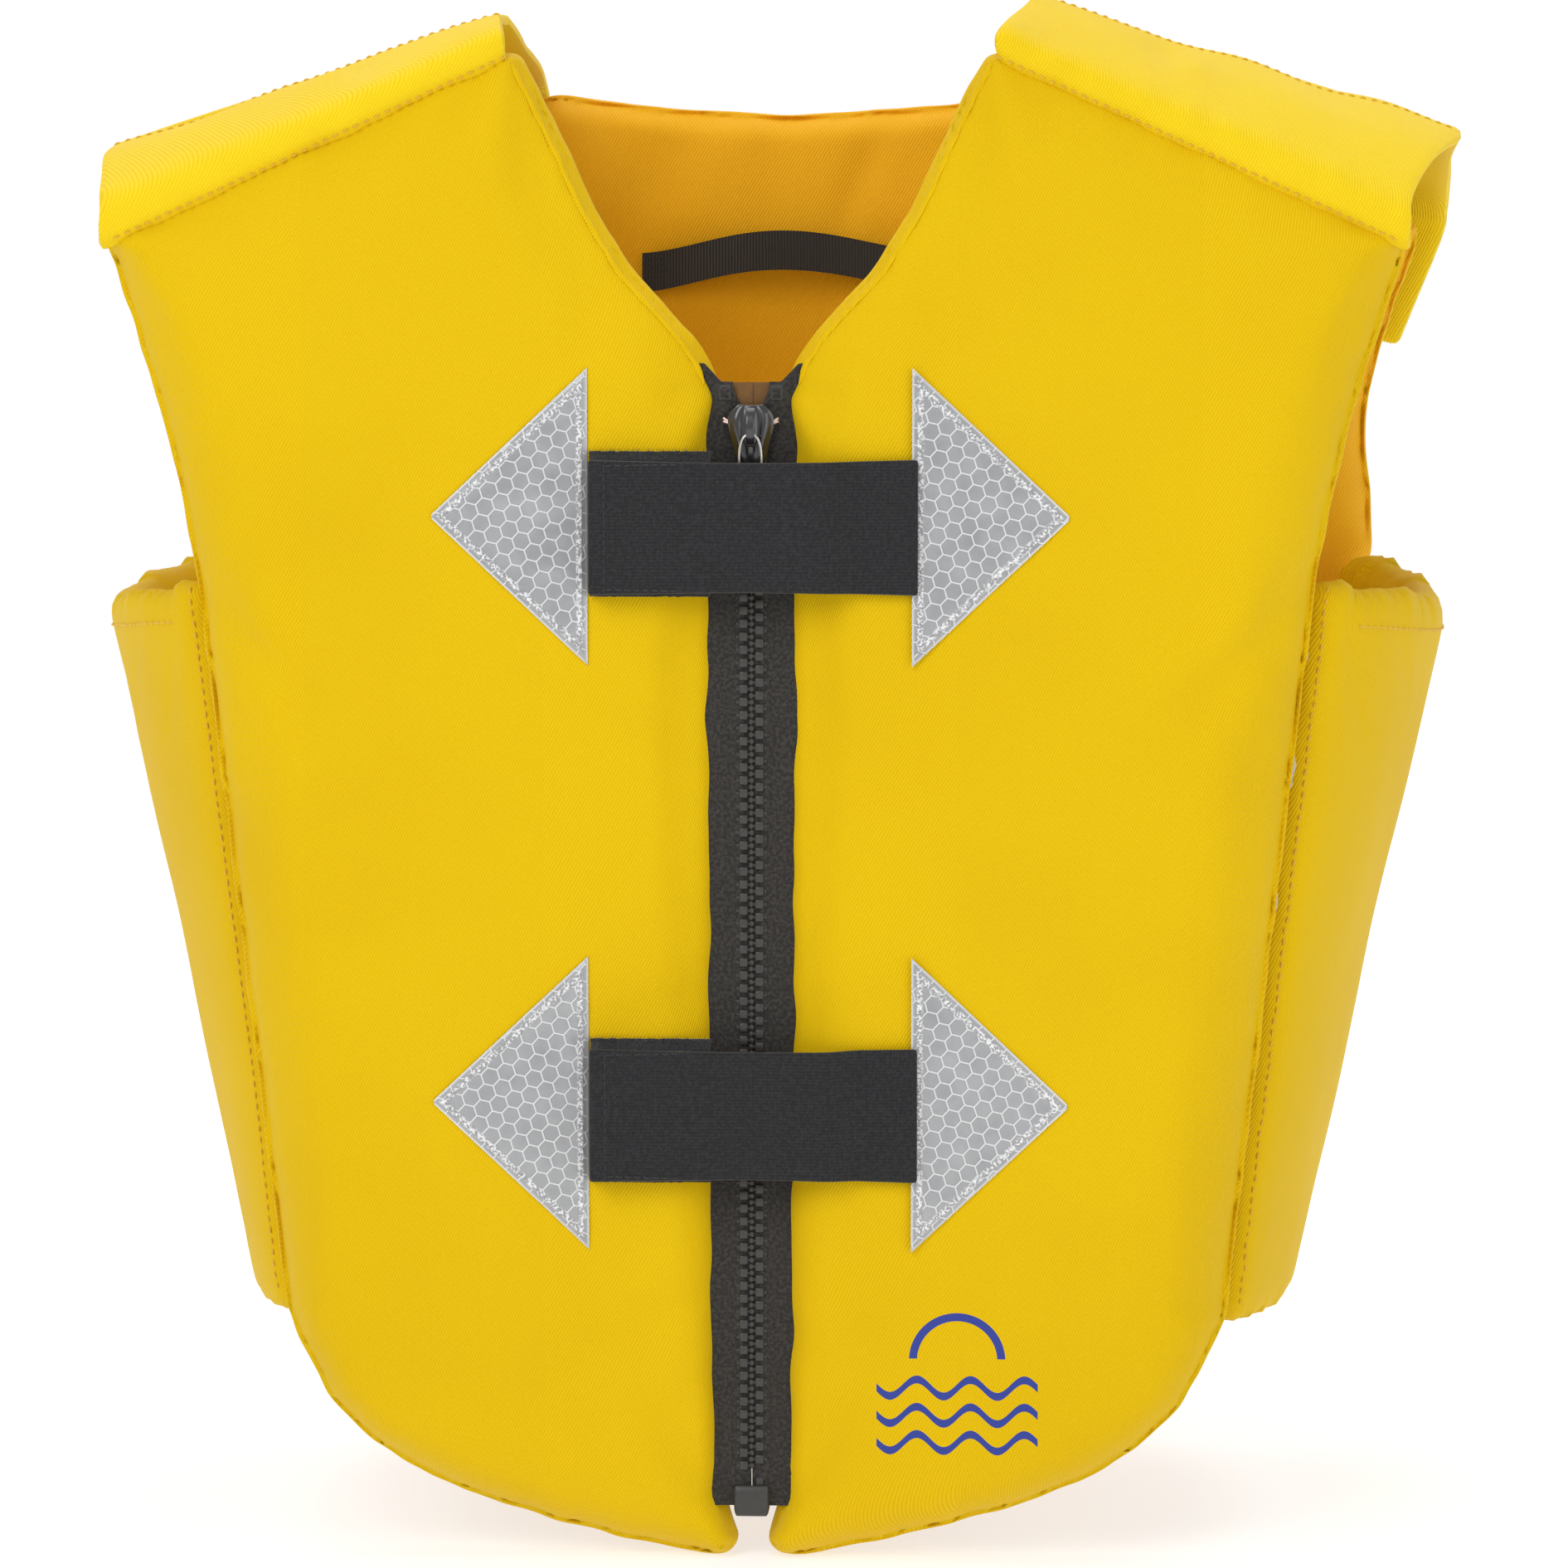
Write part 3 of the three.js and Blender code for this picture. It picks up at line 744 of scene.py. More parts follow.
PEAK_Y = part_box("shoulder_cap_left")[1].y
FLAP_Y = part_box("shoulder_flap_left")[1].y
CAP_IN = [(0.0625, -0.0895, 0.3895), (0.0628, -0.0935, 0.3938), (0.0645, -0.0900, 0.3995),
          (0.0670, -0.0640, 0.4050), (0.0700, -0.0380, 0.4080), (0.0710, PEAK_Y, 0.4090)]
CAP_OUT = [(0.1690, -0.0895, 0.3405), (0.1695, -0.0935, 0.3450), (0.1705, -0.0895, 0.3550),
           (0.1740, -0.0640, 0.3665), (0.1770, -0.0380, 0.3715), (0.1780, PEAK_Y, 0.3735)]
FLAP_IN = [(0.0710, PEAK_Y + 0.0006, 0.4092), (0.0710, 0.0383, 0.4022), (0.0710, 0.0763, 0.3952),
           (0.0710, 0.0953, 0.3875), (0.0690, FLAP_Y, 0.3760), (0.0580, FLAP_Y, 0.3430)]
FLAP_OUT = [(0.1780, PEAK_Y + 0.0006, 0.3737), (0.1780, 0.0383, 0.3685), (0.1780, 0.0763, 0.3615),
            (0.1780, 0.0953, 0.3535), (0.1760, FLAP_Y, 0.3430), (0.1640, FLAP_Y, 0.3130)]
LEFT_WIDER = 0.0080  # the left shoulder spreads this much further out towards its flap
RIGHT_LOWER = 0.0040  # and the right one has settled this much lower
CAP_DEEP = 0.0042


def cap_folds(point, normal):
    """Small gathers run up from the shoulder seam, and softer folds cross the cap."""
    seam = math.exp(-(point.y + 0.095) / 0.012)
    gathers = noise.noise(Vector((point.x * 130, point.z * 130, 3))) * 0.0010 * seam
    folds = noise.noise(Vector((point.x * 40, point.y * 18, point.z * 40 + 5))) * 0.0016
    hollow = math.exp(-((abs(point.x) - 0.106) / 0.005) ** 2 - ((point.y + 0.052) / 0.016) ** 2)
    ridge = math.exp(-((abs(point.x) - 0.114) / 0.005) ** 2 - ((point.y + 0.060) / 0.018) ** 2)
    return gathers + folds * (1 - seam) - hollow * 0.0016 + ridge * 0.0012


def bend_with_front(piece):
    """Takes the piece's placement into its mesh. The cap is sewn to the front half, but it is neither
    attached to it nor bent here.
    """
    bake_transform(piece)


shoulders = {}
for side, word in ((1, "left"), (-1, "right")):
    cap = cushion_sheet(f"shoulder_top_{word}", loft(CAP_IN, CAP_OUT, 22, 28, side), CAP_DEEP * -side,
                        shoulder_cloth_painted_lighter, crown=0.0006 * side)
    refine(cap)
    rumple(cap, cap_folds)
    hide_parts(f"shoulder_cap_{word}")
    bend_with_front(cap)
    flap = cushion_sheet(f"shoulder_tab_{word}", loft(FLAP_IN, FLAP_OUT, 34, 28, side),
                         CAP_DEEP * -side, shoulder_cloth_painted_lighter)
    refine(flap)
    rumple(flap, lambda p, n: noise.noise(p * 24) * 0.0010)
    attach(flap, f"shoulder_flap_{word}")
    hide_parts(f"shoulder_flap_{word}")
    shoulders[word] = cap, flap


# ---------------------------------------------------------------- Stitching on the cover
# Lockstitch in yellow polyester thread: along each shoulder seam and ridge, down each side
# seam and along each side panel's hem. A folded edge of cloth stands up along the neck.
def thread(name, color, deep):
    made = Finish(name, color, 0.55, Sheen_Weight=0.2)
    twist = made.wave(made.x * 0.6 + made.y * 0.6 + made.z, 0.00045)
    made.feed("Base Color", made.mix(twist, color, deep))
    made.raise_surface(twist, 0.00008)
    return made.material


yellow_thread = thread("yellow_thread", (0.86, 0.55, 0.006), (0.60, 0.32, 0.003))
black_thread = thread("black_thread", (0.020, 0.021, 0.024), (0.008, 0.008, 0.010))


def on_surface(tree, start, heading, fallback):
    hit, normal, _, _ = tree.ray_cast(Vector(start), Vector(heading))
    return (hit, normal) if hit is not None else (Vector(fallback), -Vector(heading))


def walk(points, step):
    """Places along an open run of (place, normal) pairs, a step apart, each with its heading."""
    places, left = [], 0.0
    for (a, na), (b, nb) in zip(points, points[1:]):
        length = (b - a).length
        heading = (b - a).normalized() if length else Vector((1, 0, 0))
        while left <= length:
            share = left / length if length else 0
            places.append((a.lerp(b, share), na.lerp(nb, share).normalized(), heading))
            left += step
        left -= length
    return places


def hoop(bm, centre, across, up, sides):
    """A ring of points; across and up are its half width and half height."""
    turns = [2 * math.pi * s / sides for s in range(sides)]
    return [bm.verts.new(centre + across * math.cos(a) + up * math.sin(a)) for a in turns]


def skin(bm, hoops, closed=False):
    """Faces from each ring to the next, capped at both ends unless it closes on itself."""
    count = len(hoops[0])
    for low, high in zip(hoops, hoops[1:] + hoops[:1] if closed else hoops[1:]):
        for s in range(count):
            bm.faces.new((low[s], low[(s + 1) % count], high[(s + 1) % count], high[s]))
    if not closed:
        bm.faces.new(hoops[0][::-1])
        bm.faces.new(hoops[-1])


def stitches(name, runs, body, material, pitch=0.0030, length=0.0021, thick=0.00036, seed=1):
    """Rows of single stitches, each a short thread that dips into the cloth at both ends."""
    chance = random.Random(seed)
    bm = bmesh.new()
    sides, rings = 6, 5
    for points in runs:
        for place, normal, heading in walk(points, pitch):
            skew = heading + normal.cross(heading) * chance.uniform(-0.12, 0.12)
            across = normal.cross(skew).normalized()
            hoops = []
            for r in range(rings):
                t = r / (rings - 1) * 2 - 1
                centre = place + skew * (t * length / 2) + normal * thick * (0.75 - 1.3 * t * t)
                width = thick * (1 - 0.35 * t * t)
                hoops.append(hoop(bm, centre, across * width, normal * width, sides))
            skin(bm, hoops)
    made = put(name, mesh_of(bm), material)
    if body:
        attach(made, body)
    return made


def welt(name, points, radius, body, material):
    """A fine roll of folded cloth along a run of (place, normal) pairs."""
    bm = bmesh.new()
    hoops = []
    for i, (place, normal) in enumerate(points):
        heading = points[min(i + 1, len(points) - 1)][0] - points[max(i - 1, 0)][0]
        across = normal.cross(heading).normalized()
        size = radius * (0.3 if i in (0, len(points) - 1) else 1 + 0.15 * math.sin(i * 1.7))
        hoops.append(hoop(bm, place, across * 1.25 * size, normal * size, 8))
    skin(bm, hoops)
    made = put(name, mesh_of(bm), material)
    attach(made, body)
    return made


def stretch(outline, start, end):
    """The outline's points from the one nearest start to the one nearest end, the short way."""
    nearest = lambda goal: min(range(len(outline)), key=lambda i: math.dist(outline[i], goal))
    a, b = nearest(start), nearest(end)
    ahead = [outline[(a + i) % len(outline)] for i in range((b - a) % len(outline) + 1)]
    behind = [outline[(a - i) % len(outline)] for i in range((a - b) % len(outline) + 1)]
    return min(ahead, behind, key=len)


for side, word in ((1, "left"), (-1, "right")):
    pad, rim = front_pads[word]
    cap, flap = shoulders[word]
    front_tree, cap_tree, side_tree = tree_of(pad), tree_of(cap), tree_of(side_pads[word])

    def at(x, z, tree=front_tree):
        return on_surface(tree, (x, -0.2, z), (0, 1, 0), (x, front_low + 0.002, z))

    def along_shoulder(share, up):
        x = side * (SHOULDER_IN[0] + (SHOULDER_OUT[0] - SHOULDER_IN[0]) * share)
        return x, SHOULDER_IN[1] + (SHOULDER_OUT[1] - SHOULDER_IN[1]) * share + up

    seam = [at(*along_shoulder(0.02 + 0.96 * i / 50, -0.0010), cap_tree) for i in range(51)]
    stitches(f"shoulder_seam_stitches_{word}", [seam], f"front_{word}", yellow_thread, seed=2 + side)
    crease = [at(*along_shoulder(0.01 + 0.98 * i / 50, -0.0010)) for i in range(51)]
    welt(f"shoulder_seam_fold_{word}", crease, 0.0006, f"front_{word}", yellow_cloth)

    ridge = []
    for i in range(61):
        share = 0.02 + 0.96 * i / 60
        a, b = spline(CAP_IN, 0.90), spline(CAP_OUT, 0.90)
        if side > 0:
            b.x += LEFT_WIDER
        p = a.lerp(b, share)
        ridge.append(on_surface(cap_tree, (side * p.x, p.y, 0.5), (0, 0, -1), (side * p.x, p.y, p.z)))
    ridge_row = stitches(f"shoulder_ridge_stitches_{word}", [ridge], None, yellow_thread, seed=9)
    bend_with_front(ridge_row)

    neck = stretch(rim.points, (side * SHOULDER_IN[0], SHOULDER_IN[1] - 0.003),
                   (side * (ZIP_EDGE + 0.0004), ZIP_TOP + 0.003))[::3]
    fold = []
    for x, z in neck:
        hit, normal, _, _ = front_tree.find_nearest(Vector((x, front_low + 0.0052, z)))
        fold.append((hit + normal * 0.0001, normal))
    welt(f"neck_fold_{word}", fold, 0.0007, f"front_{word}", yellow_cloth)

    side_rows = []
    for share in [i / 60 for i in range(61)]:
        x = SEAM_TOP[0] + (SEAM_FOOT[0] - SEAM_TOP[0]) * share
        z = SEAM_TOP[1] - 0.006 + (SEAM_FOOT[1] + 0.008 - SEAM_TOP[1]) * share
        hit, normal, _, _ = side_tree.find_nearest(Vector((side * (x + 0.004), front_high + 0.002, z)))
        side_rows.append((hit, normal))
    stitches(f"side_seam_stitches_{word}", [side_rows], "back", yellow_thread, seed=5)

    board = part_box(f"side_cover_{word}")
    hem = []
    for share in [i / 70 for i in range(71)]:
        y = (front_high + 0.006) + (back_low - front_high - 0.014) * share
        start = (side * 0.25, y, board[1].z - 0.0125 - 0.004 * math.sin(math.pi * share))
        hem.append(on_surface(side_tree, start, (-side, 0, 0), start))
    stitches(f"side_hem_stitches_{word}", [hem], "back", yellow_thread, seed=6)


# ---------------------------------------------------------------- Reflectors
# Four triangles of clear prismatic film over grey hexagon cells, welded in at their edges and
# sewn on with a narrow crimped border, so they follow the cover's swell.
CELL = 0.0043
CELL_TURN = math.radians(17)
BASE_X = min(abs(corner.x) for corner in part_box("reflector_upper_left"))
TIP_X = max(abs(corner.x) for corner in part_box("reflector_upper_left"))


def reflective_film(level, middle_z, half):
    film = Finish(f"reflective_film_{level}", (0.3, 0.3, 0.31), 0.28, Coat_Weight=0.7,
                  Coat_Roughness=0.08, Specular_IOR_Level=0.6)
    z = film.z - middle_z
    x = film.x + film.noise(40, 1) * 0.0006
    u = (x * math.cos(CELL_TURN) + z * math.sin(CELL_TURN)) * (1 / CELL)
    v = (z * math.cos(CELL_TURN) - x * math.sin(CELL_TURN)) * (1 / (CELL * math.sqrt(3)))

    def hexagon(across, up):
        a = abs(across.fraction() - 0.5)
        b = abs(up.fraction() - 0.5) * math.sqrt(3)
        return a.most(a * 0.5 + b * (math.sqrt(3) / 2))

    from_middle = hexagon(u + 100, v + 100).least(hexagon(u + 100.5, v + 100.5))
    wall = from_middle.between(0.435, 0.462)
    run = math.hypot(half, TIP_X - BASE_X)
    from_slope = ((TIP_X - abs(film.x)) * half - abs(z) * (TIP_X - BASE_X)) * (1 / run)
    from_edge = from_slope.least(abs(film.x) - BASE_X)
    speckle = film.noise(1500, 2)
    crimp = (1 - abs(from_edge - 0.0021) * (1 / 0.0011)).between(0.0, 0.6)
    grain = film.noise(160, 3)
    cell = film.mix(grain, (0.23, 0.235, 0.245), (0.40, 0.405, 0.415))
    walled = film.mix(wall * 0.9, cell, (0.70, 0.71, 0.72))
    sparkle = film.mix(speckle.between(0.42, 0.62), (0.28, 0.28, 0.29), (0.92, 0.92, 0.93))
    bordered = film.mix(crimp * 0.85, walled, sparkle)
    rim = 1 - from_edge.between(0.0001, 0.0008)
    film.feed("Base Color", film.mix(rim * 0.7, bordered, (0.80, 0.80, 0.80)))
    film.feed("Roughness", 0.20 + wall * 0.25 + crimp * speckle * 0.4)
    relief = wall * 0.5 + crimp * speckle * 1.2 + film.noise(75, 2) * 0.7
    film.raise_surface(relief, 0.00035)
    return film.material


def reflector(word, side, level, film):
    low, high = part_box(f"reflector_{level}_{word}")
    middle, half = (low.z + high.z) / 2, (high.z - low.z) / 2
    tree = tree_of(front_pads[word][0])
    bm = bmesh.new()
    rows, columns = 44, 22
    grid = []
    for i in range(columns + 1):
        share = i / columns
        line = []
        for j in range(rows + 1):
            x = side * (BASE_X + (TIP_X - BASE_X) * min(share, 0.985))
            reach = half * (1 - min(share, 0.985))
            z = middle + reach * (2 * j / rows - 1)
            hit, _ = on_surface(tree, (x, -0.2, z), (0, 1, 0), (x, low.y, z))
            over_strap = 0.0009 * math.exp(-(abs(x) - BASE_X) / 0.004) if side > 0 else 0.0
            ripple = noise.noise(Vector((x * 160, 2, z * 160))) * 0.00022
            line.append(bm.verts.new((x, hit.y - 0.00055 - over_strap - ripple, z)))
        grid.append(line)
    for i in range(columns):
        for j in range(rows):
            bm.faces.new((grid[i][j], grid[i + 1][j], grid[i + 1][j + 1], grid[i][j + 1]))
    made = put(f"reflector_film_{level}_{word}", mesh_of(bm), film)
    facing = made.data.polygons[0].normal.y < 0
    thick = made.modifiers.new("thick", "SOLIDIFY")
    thick.thickness, thick.offset = 0.0005, -1 if facing else 1
    applied(made)
    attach(made, f"front_{word}")
    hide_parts(f"reflector_{level}_{word}")


for level in ("upper", "lower"):
    low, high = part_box(f"reflector_{level}_left")
    film = reflective_film(level, (low.z + high.z) / 2, (high.z - low.z) / 2)
    for side, word in ((1, "left"), (-1, "right")):
        reflector(word, side, level, film)


# ---------------------------------------------------------------- Closing straps
# Two 35 mm black elastic straps, rooted under the left reflectors. Hook tape under each free
# end closes on a strip of loop tape, whose hairy edge shows a little above the strap.
def elastic():
    made = Finish("elastic_webbing", (0.012, 0.0125, 0.014), 0.8, Sheen_Weight=0.15,
                  Sheen_Roughness=0.5, Specular_IOR_Level=0.3)
    across = made.wave(made.z, 0.00085)
    along = made.wave(made.x, 0.00062)
    knit = across * along
    mottle = made.noise(1100, 2)
    shade = knit * 0.45 + mottle.between(0.35, 0.7) * 0.55
    made.feed("Base Color", made.mix(shade, (0.0075, 0.0078, 0.009), (0.030, 0.030, 0.033)))
    made.feed("Roughness", 0.72 + mottle * 0.2)
    made.raise_surface(knit * 0.6 + mottle * 0.5, 0.00013)
    return made.material


def hairy(name, dark, light):
    return grained(name, 1900, 3, dark, light, (0.95, 0), 0.0006, (0.35, 0.7), Sheen_Weight=0.4,
                   Sheen_Roughness=0.6)


elastic_finish = elastic()
black_pile = hairy("black_hook_and_loop", (0.007, 0.007, 0.008), (0.035, 0.035, 0.038))
yellow_pile = hairy("yellow_hook_and_loop", (0.62, 0.36, 0.004), (0.90, 0.60, 0.02))
STRAP_THICK = 0.0014
HAIR = 0.00009  # half the thickness of one hair of pile


DIP_FROM, DIP_LENGTH = 0.019, 0.010  # where the strap leaves the zip for its root


def strap_line(x, rest, root):
    """The strap's outer face in depth: flat over the zip, then down on to its root."""
    turn = min(1.0, max(0.0, (x - DIP_FROM) / DIP_LENGTH))
    return rest + (root - rest) * turn * turn * (3 - 2 * turn)


for level in ("upper", "lower"):
    low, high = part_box(f"strap_{level}")
    tree = tree_of(front_pads["left"][0])
    tree_right = tree_of(front_pads["right"][0])
    columns, rows = 64, 22
    grid = []
    for i in range(columns + 1):
        x = low.x + (BASE_X + 0.0016 - low.x) * i / columns
        line = []
        for j in range(rows + 1):
            v = j / rows
            z = low.z + (high.z - low.z) * v
            waist = 0.0007 * math.sin(math.pi * (x - low.x) / (high.x - low.x)) * (2 * v - 1)
            hit, _ = on_surface(tree, (max(x, 0.024), -0.2, z), (0, 1, 0), (x, front_low, z))
            y = strap_line(x, low.y + 0.0001, hit.y - 0.0017)
            wave = noise.noise(Vector((x * 45, level == "upper", z * 30))) * 0.00035
            sag = 0.0012 * math.exp(-(x / 0.016) ** 2)
            line.append(Vector((x, y + wave + sag, z - waist)))
        grid.append(line)
    strap = cushion_sheet(f"closing_strap_{level}", grid, -STRAP_THICK, elastic_finish)
    refine(strap)
    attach(strap, f"strap_{level}")
    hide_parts(f"strap_{level}")
    strap_tree = tree_of(strap)

    def sewn(x0, z0, x1, z1, count=12):
        found = []
        for i in range(count + 1):
            x, z = x0 + (x1 - x0) * i / count, z0 + (z1 - z0) * i / count
            found.append(on_surface(strap_tree, (x, -0.2, z), (0, 1, 0), (x, low.y, z)))
        return found

    margin, tip = 0.0016, low.x + 0.0042
    rows_of_thread = [sewn(tip, low.z + margin, tip, high.z - margin),
                      sewn(tip + 0.0012, high.z - margin, -0.0185, high.z - margin * 0.8),
                      sewn(tip + 0.0012, low.z + margin, -0.0185, low.z + margin * 0.8)]
    stitches(f"strap_stitches_{level}", rows_of_thread, f"strap_{level}", black_thread,
             pitch=0.0024, length=0.0017, thick=0.0002, seed=11)

    # The loop tape on the right half, and the hook tape that bites into it.
    tape_low, tape_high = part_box(f"strap_loop_tape_{level}")
    grid = []
    for i in range(31):
        x = tape_low.x + (tape_high.x - tape_low.x) * i / 30
        line = []
        for j in range(21):
            z = tape_low.z + (tape_high.z - tape_low.z) * j / 20
            ragged = noise.noise(Vector((x * 900, 1, j))) * 0.0003 if j in (0, 20) else 0.0
            hit, _ = on_surface(tree_right, (x, -0.2, z), (0, 1, 0), (x, front_low, z))
            line.append(Vector((x, min(hit.y, tape_high.y + 0.002) - 0.0010, z + ragged)))
        grid.append(line)
    tape = cushion_sheet(f"loop_tape_{level}", grid, -0.0009, black_pile)
    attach(tape, "front_right")
    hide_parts(f"strap_loop_tape_{level}")

    # Loose hairs of pile along the edge that shows.
    chance = random.Random(21)
    bm = bmesh.new()
    for _ in range(150):
        x = chance.uniform(tape_low.x, tape_high.x)
        root = Vector((x, tape_low.y + chance.uniform(0.0002, 0.001), tape_high.z - 0.0008))
        lean = Vector((chance.uniform(-1, 1), chance.uniform(-0.7, 0.3), chance.uniform(0.5, 1.4)))
        end = root + lean.normalized() * chance.uniform(0.0010, 0.0022)
        base = [bm.verts.new(root + Vector((p, q, 0)) * HAIR) for p, q in ((1, 0), (0, 1), (-1, -1))]
        point = bm.verts.new(end)
        bm.faces.new(base)
        for i in range(3):
            bm.faces.new((base[i], base[(i + 1) % 3], point))
    hairs = put(f"loop_tape_hairs_{level}", mesh_of(bm), black_pile)
    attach(hairs, "front_right")
    dress(f"strap_hook_tape_{level}", black_pile)


# ---------------------------------------------------------------- Zip
# An open-ended zip with moulded resin teeth on woven tapes, which flare out at the top. The
# slider is cast and lacquered black, with a wire ring and a moulded grip; box and pin below.
zip_y = (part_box("zip_tape_left")[0].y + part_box("zip_tape_left")[1].y) / 2
TAPE_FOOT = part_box("zip_tape_left")[0].z
TAPE_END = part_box("zip_slider")[1].z + 0.0058
TOOTH_PITCH = 0.0034
TOOTH_COUNT = 80


def woven_tape():
    made = Finish("woven_zip_tape", (0.02, 0.02, 0.021), 0.85, Sheen_Weight=0.2, Specular_IOR_Level=0.25)
    chevron = made.z + abs((made.x * (1 / 0.0022)).fraction() - 0.5) * 0.0022
    weave = made.wave(chevron, 0.00055)
    cross = made.wave(made.x, 0.00042)
    fleck = made.noise(1100, 3).between(0.38, 0.66)
    shade = weave * 0.3 + cross * 0.15 + fleck * 0.55
    made.feed("Base Color", made.mix(shade, (0.010, 0.0095, 0.009), (0.064, 0.058, 0.052)))
    made.raise_surface(weave * 0.6 + cross * 0.4, 0.00016)
    return made.material


def bare_wire(name, color):
    return grained(name, 900, 2, tuple(c * 0.8 for c in color), color, (0.16, 0.2), 0.00003, Metallic=1.0)


tape_finish = woven_tape()
resin = grained("moulded_resin", 600, 3, (0.026, 0.025, 0.023), (0.052, 0.049, 0.045), (0.30, 0.22),
                0.00006, Specular_IOR_Level=0.5)
lacquer = grained("lacquered_metal", 420, 3, (0.007, 0.007, 0.008), (0.022, 0.022, 0.023),
                  (0.14, 0.18), 0.00005, Coat_Weight=0.8, Coat_Roughness=0.08,
                  Specular_IOR_Level=0.6)
steel_wire = bare_wire("steel_wire", (0.62, 0.62, 0.61))
brass = bare_wire("worn_brass", (0.86, 0.66, 0.54))
# A dark brown, partly clear sheet: painted shadow inside the vest, seen between the zip tape ends.
shadow_sheet_finish = grained("brown_painted_shadow_sheet", 500, 2, (0.13, 0.055, 0.010), (0.21, 0.095, 0.012),
                      (0.30, 0.2), 0, Alpha=0.86)


def rounded_block(bm, low, high, round_by):
    """Adds a block with softened edges, between two corners."""
    size = high - low
    made = bmesh.ops.create_cube(bm, size=1.0)
    for vertex in made["verts"]:
        vertex.co = Vector((vertex.co.x * size.x, vertex.co.y * size.y, vertex.co.z * size.z))
        vertex.co += (low + high) / 2
    edges = list({e for v in made["verts"] for e in v.link_edges})
    bmesh.ops.bevel(bm, geom=edges, offset=round_by, segments=2, profile=0.5, affect="EDGES")


def tooth_mesh():
    bm = bmesh.new()
    rounded_block(bm, Vector((0.00095, -0.00150, -0.00035)), Vector((0.00325, 0.00150, 0.00210)), 0.00042)
    rounded_block(bm, Vector((0.00030, -0.00095, 0.00045)), Vector((0.00130, 0.00095, 0.00120)), 0.00014)
    rounded_block(bm, Vector((-0.00070, -0.00120, 0.00010)), Vector((0.00055, 0.00120, 0.00158)), 0.00042)
    rounded_block(bm, Vector((0.00270, -0.00080, 0.00030)), Vector((0.00400, 0.00080, 0.00130)), 0.00025)
    return mesh_of(bm)


tooth = tooth_mesh()
for side, word, start in ((1, "left", 0.025), (-1, "right", 0.025 - TOOTH_PITCH / 2)):
    bm = bmesh.new()
    for i in range(TOOTH_COUNT):
        first = len(bm.verts)
        bm.from_mesh(tooth)
        bm.verts.ensure_lookup_table()
        for vertex in bm.verts[first:]:
            vertex.co.x *= side
            vertex.co += Vector((0, zip_y, start + i * TOOTH_PITCH))
    teeth = put(f"zip_tooth_row_{word}", mesh_of(bm), resin, sharp=60)
    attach(teeth, f"front_{word}")
    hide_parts(f"zip_teeth_{word}")

    # Each tape meets the other behind the teeth. Above the slider its inner edge turns away,
    # its end is cut square over the top stop, and its outer corner slants up to the neck.
    stop_low, stop_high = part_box(f"zip_top_stop_{word}")
    grid = []
    for i in range(141):
        t = i / 140
        flare = max(0.0, t - 0.955) / 0.045
        turned = flare * flare * (3 - 2 * flare)
        line = []
        for j in range(17):
            v = j / 16
            x = 0.0001 + turned * 0.0047 + (0.0138 - 0.0001 - turned * 0.0047) * v
            slant = min(1.3, max(0.0, (x - 0.0078) / 0.0034)) * 0.0036
            z = TAPE_FOOT - 0.0015 + (TAPE_END - TAPE_FOOT + 0.0015) * t + flare * flare * slant
            cord = 0.0006 * math.exp(-((x - 0.0030) / 0.0007) ** 2) * (1 - turned)
            wave = noise.noise(Vector((side * 4, x * 60, z * 70))) * 0.00045 * v
            y = zip_y - 0.0004 - cord + wave
            over = math.exp(-((x - abs(stop_low.x + stop_high.x) / 2) / 0.0024) ** 4
                            - ((z - (stop_low.z + stop_high.z) / 2) / 0.0034) ** 4)
            y += (stop_low.y - 0.0002 - y) * over
            line.append(Vector((side * x, y, z)))
        grid.append(line)
    tape = cushion_sheet(f"zip_tape_cloth_{word}", grid, 0.0007 * -side, tape_finish)
    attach(tape, f"front_{word}")
    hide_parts(f"zip_tape_{word}")
    dress(f"zip_top_stop_{word}", resin)

    # A dark brown, partly clear sheet backs the gap between the two tape ends: painted shadow of the vest's
    # inside seen through it.
    slider_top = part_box("zip_slider")[1].z
    shadow_sheet_y = zip_y + 0.0006 + side * 0.0002
    grid = [[Vector((side * (-0.0003 + 0.0062 * j / 8), shadow_sheet_y, slider_top - 0.003 + 0.0086 * i / 8))
             for j in range(9)] for i in range(9)]
    film = cushion_sheet(f"zip_end_shadow_sheet_{word}", grid, 0.0002 * -side, shadow_sheet_finish)
    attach(film, f"front_{word}")

dress("zip_pin", resin)
low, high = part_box("zip_box")
grid = [[Vector((low.x + 0.0003 + (high.x - low.x - 0.0006) * j / 12,
                 low.y + 0.0004 + 0.0009 * abs(2 * i / 12 - 1) ** 4,
                 low.z + (high.z - low.z) * i / 12)) for j in range(13)] for i in range(13)]
for i, row in enumerate(grid):
    narrow = 1 - 0.10 * max(0.0, 1 - i / 3) ** 2
    for p in row:
        p.x *= narrow
bottom_box = cushion_sheet("zip_bottom_box", grid, -(high.y - low.y - 0.0008), resin, crown=-0.0004)
refine(bottom_box)
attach(bottom_box, "front_right")
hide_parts("zip_box")

# The slider: a fluted dome over a back plate, with a raised bail down its middle.
low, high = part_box("zip_slider")
slider_half = (high.x - low.x) / 2
face_y = zip_y - 0.0039
DOME = [(0.00, 0.66), (0.18, 0.70), (0.38, 0.80), (0.58, 0.94), (0.74, 1.0), (0.88, 0.86), (1.0, 0.52)]


def shield_half(t):
    return spline([(a, b, 0) for a, b in DOME], t).y * slider_half


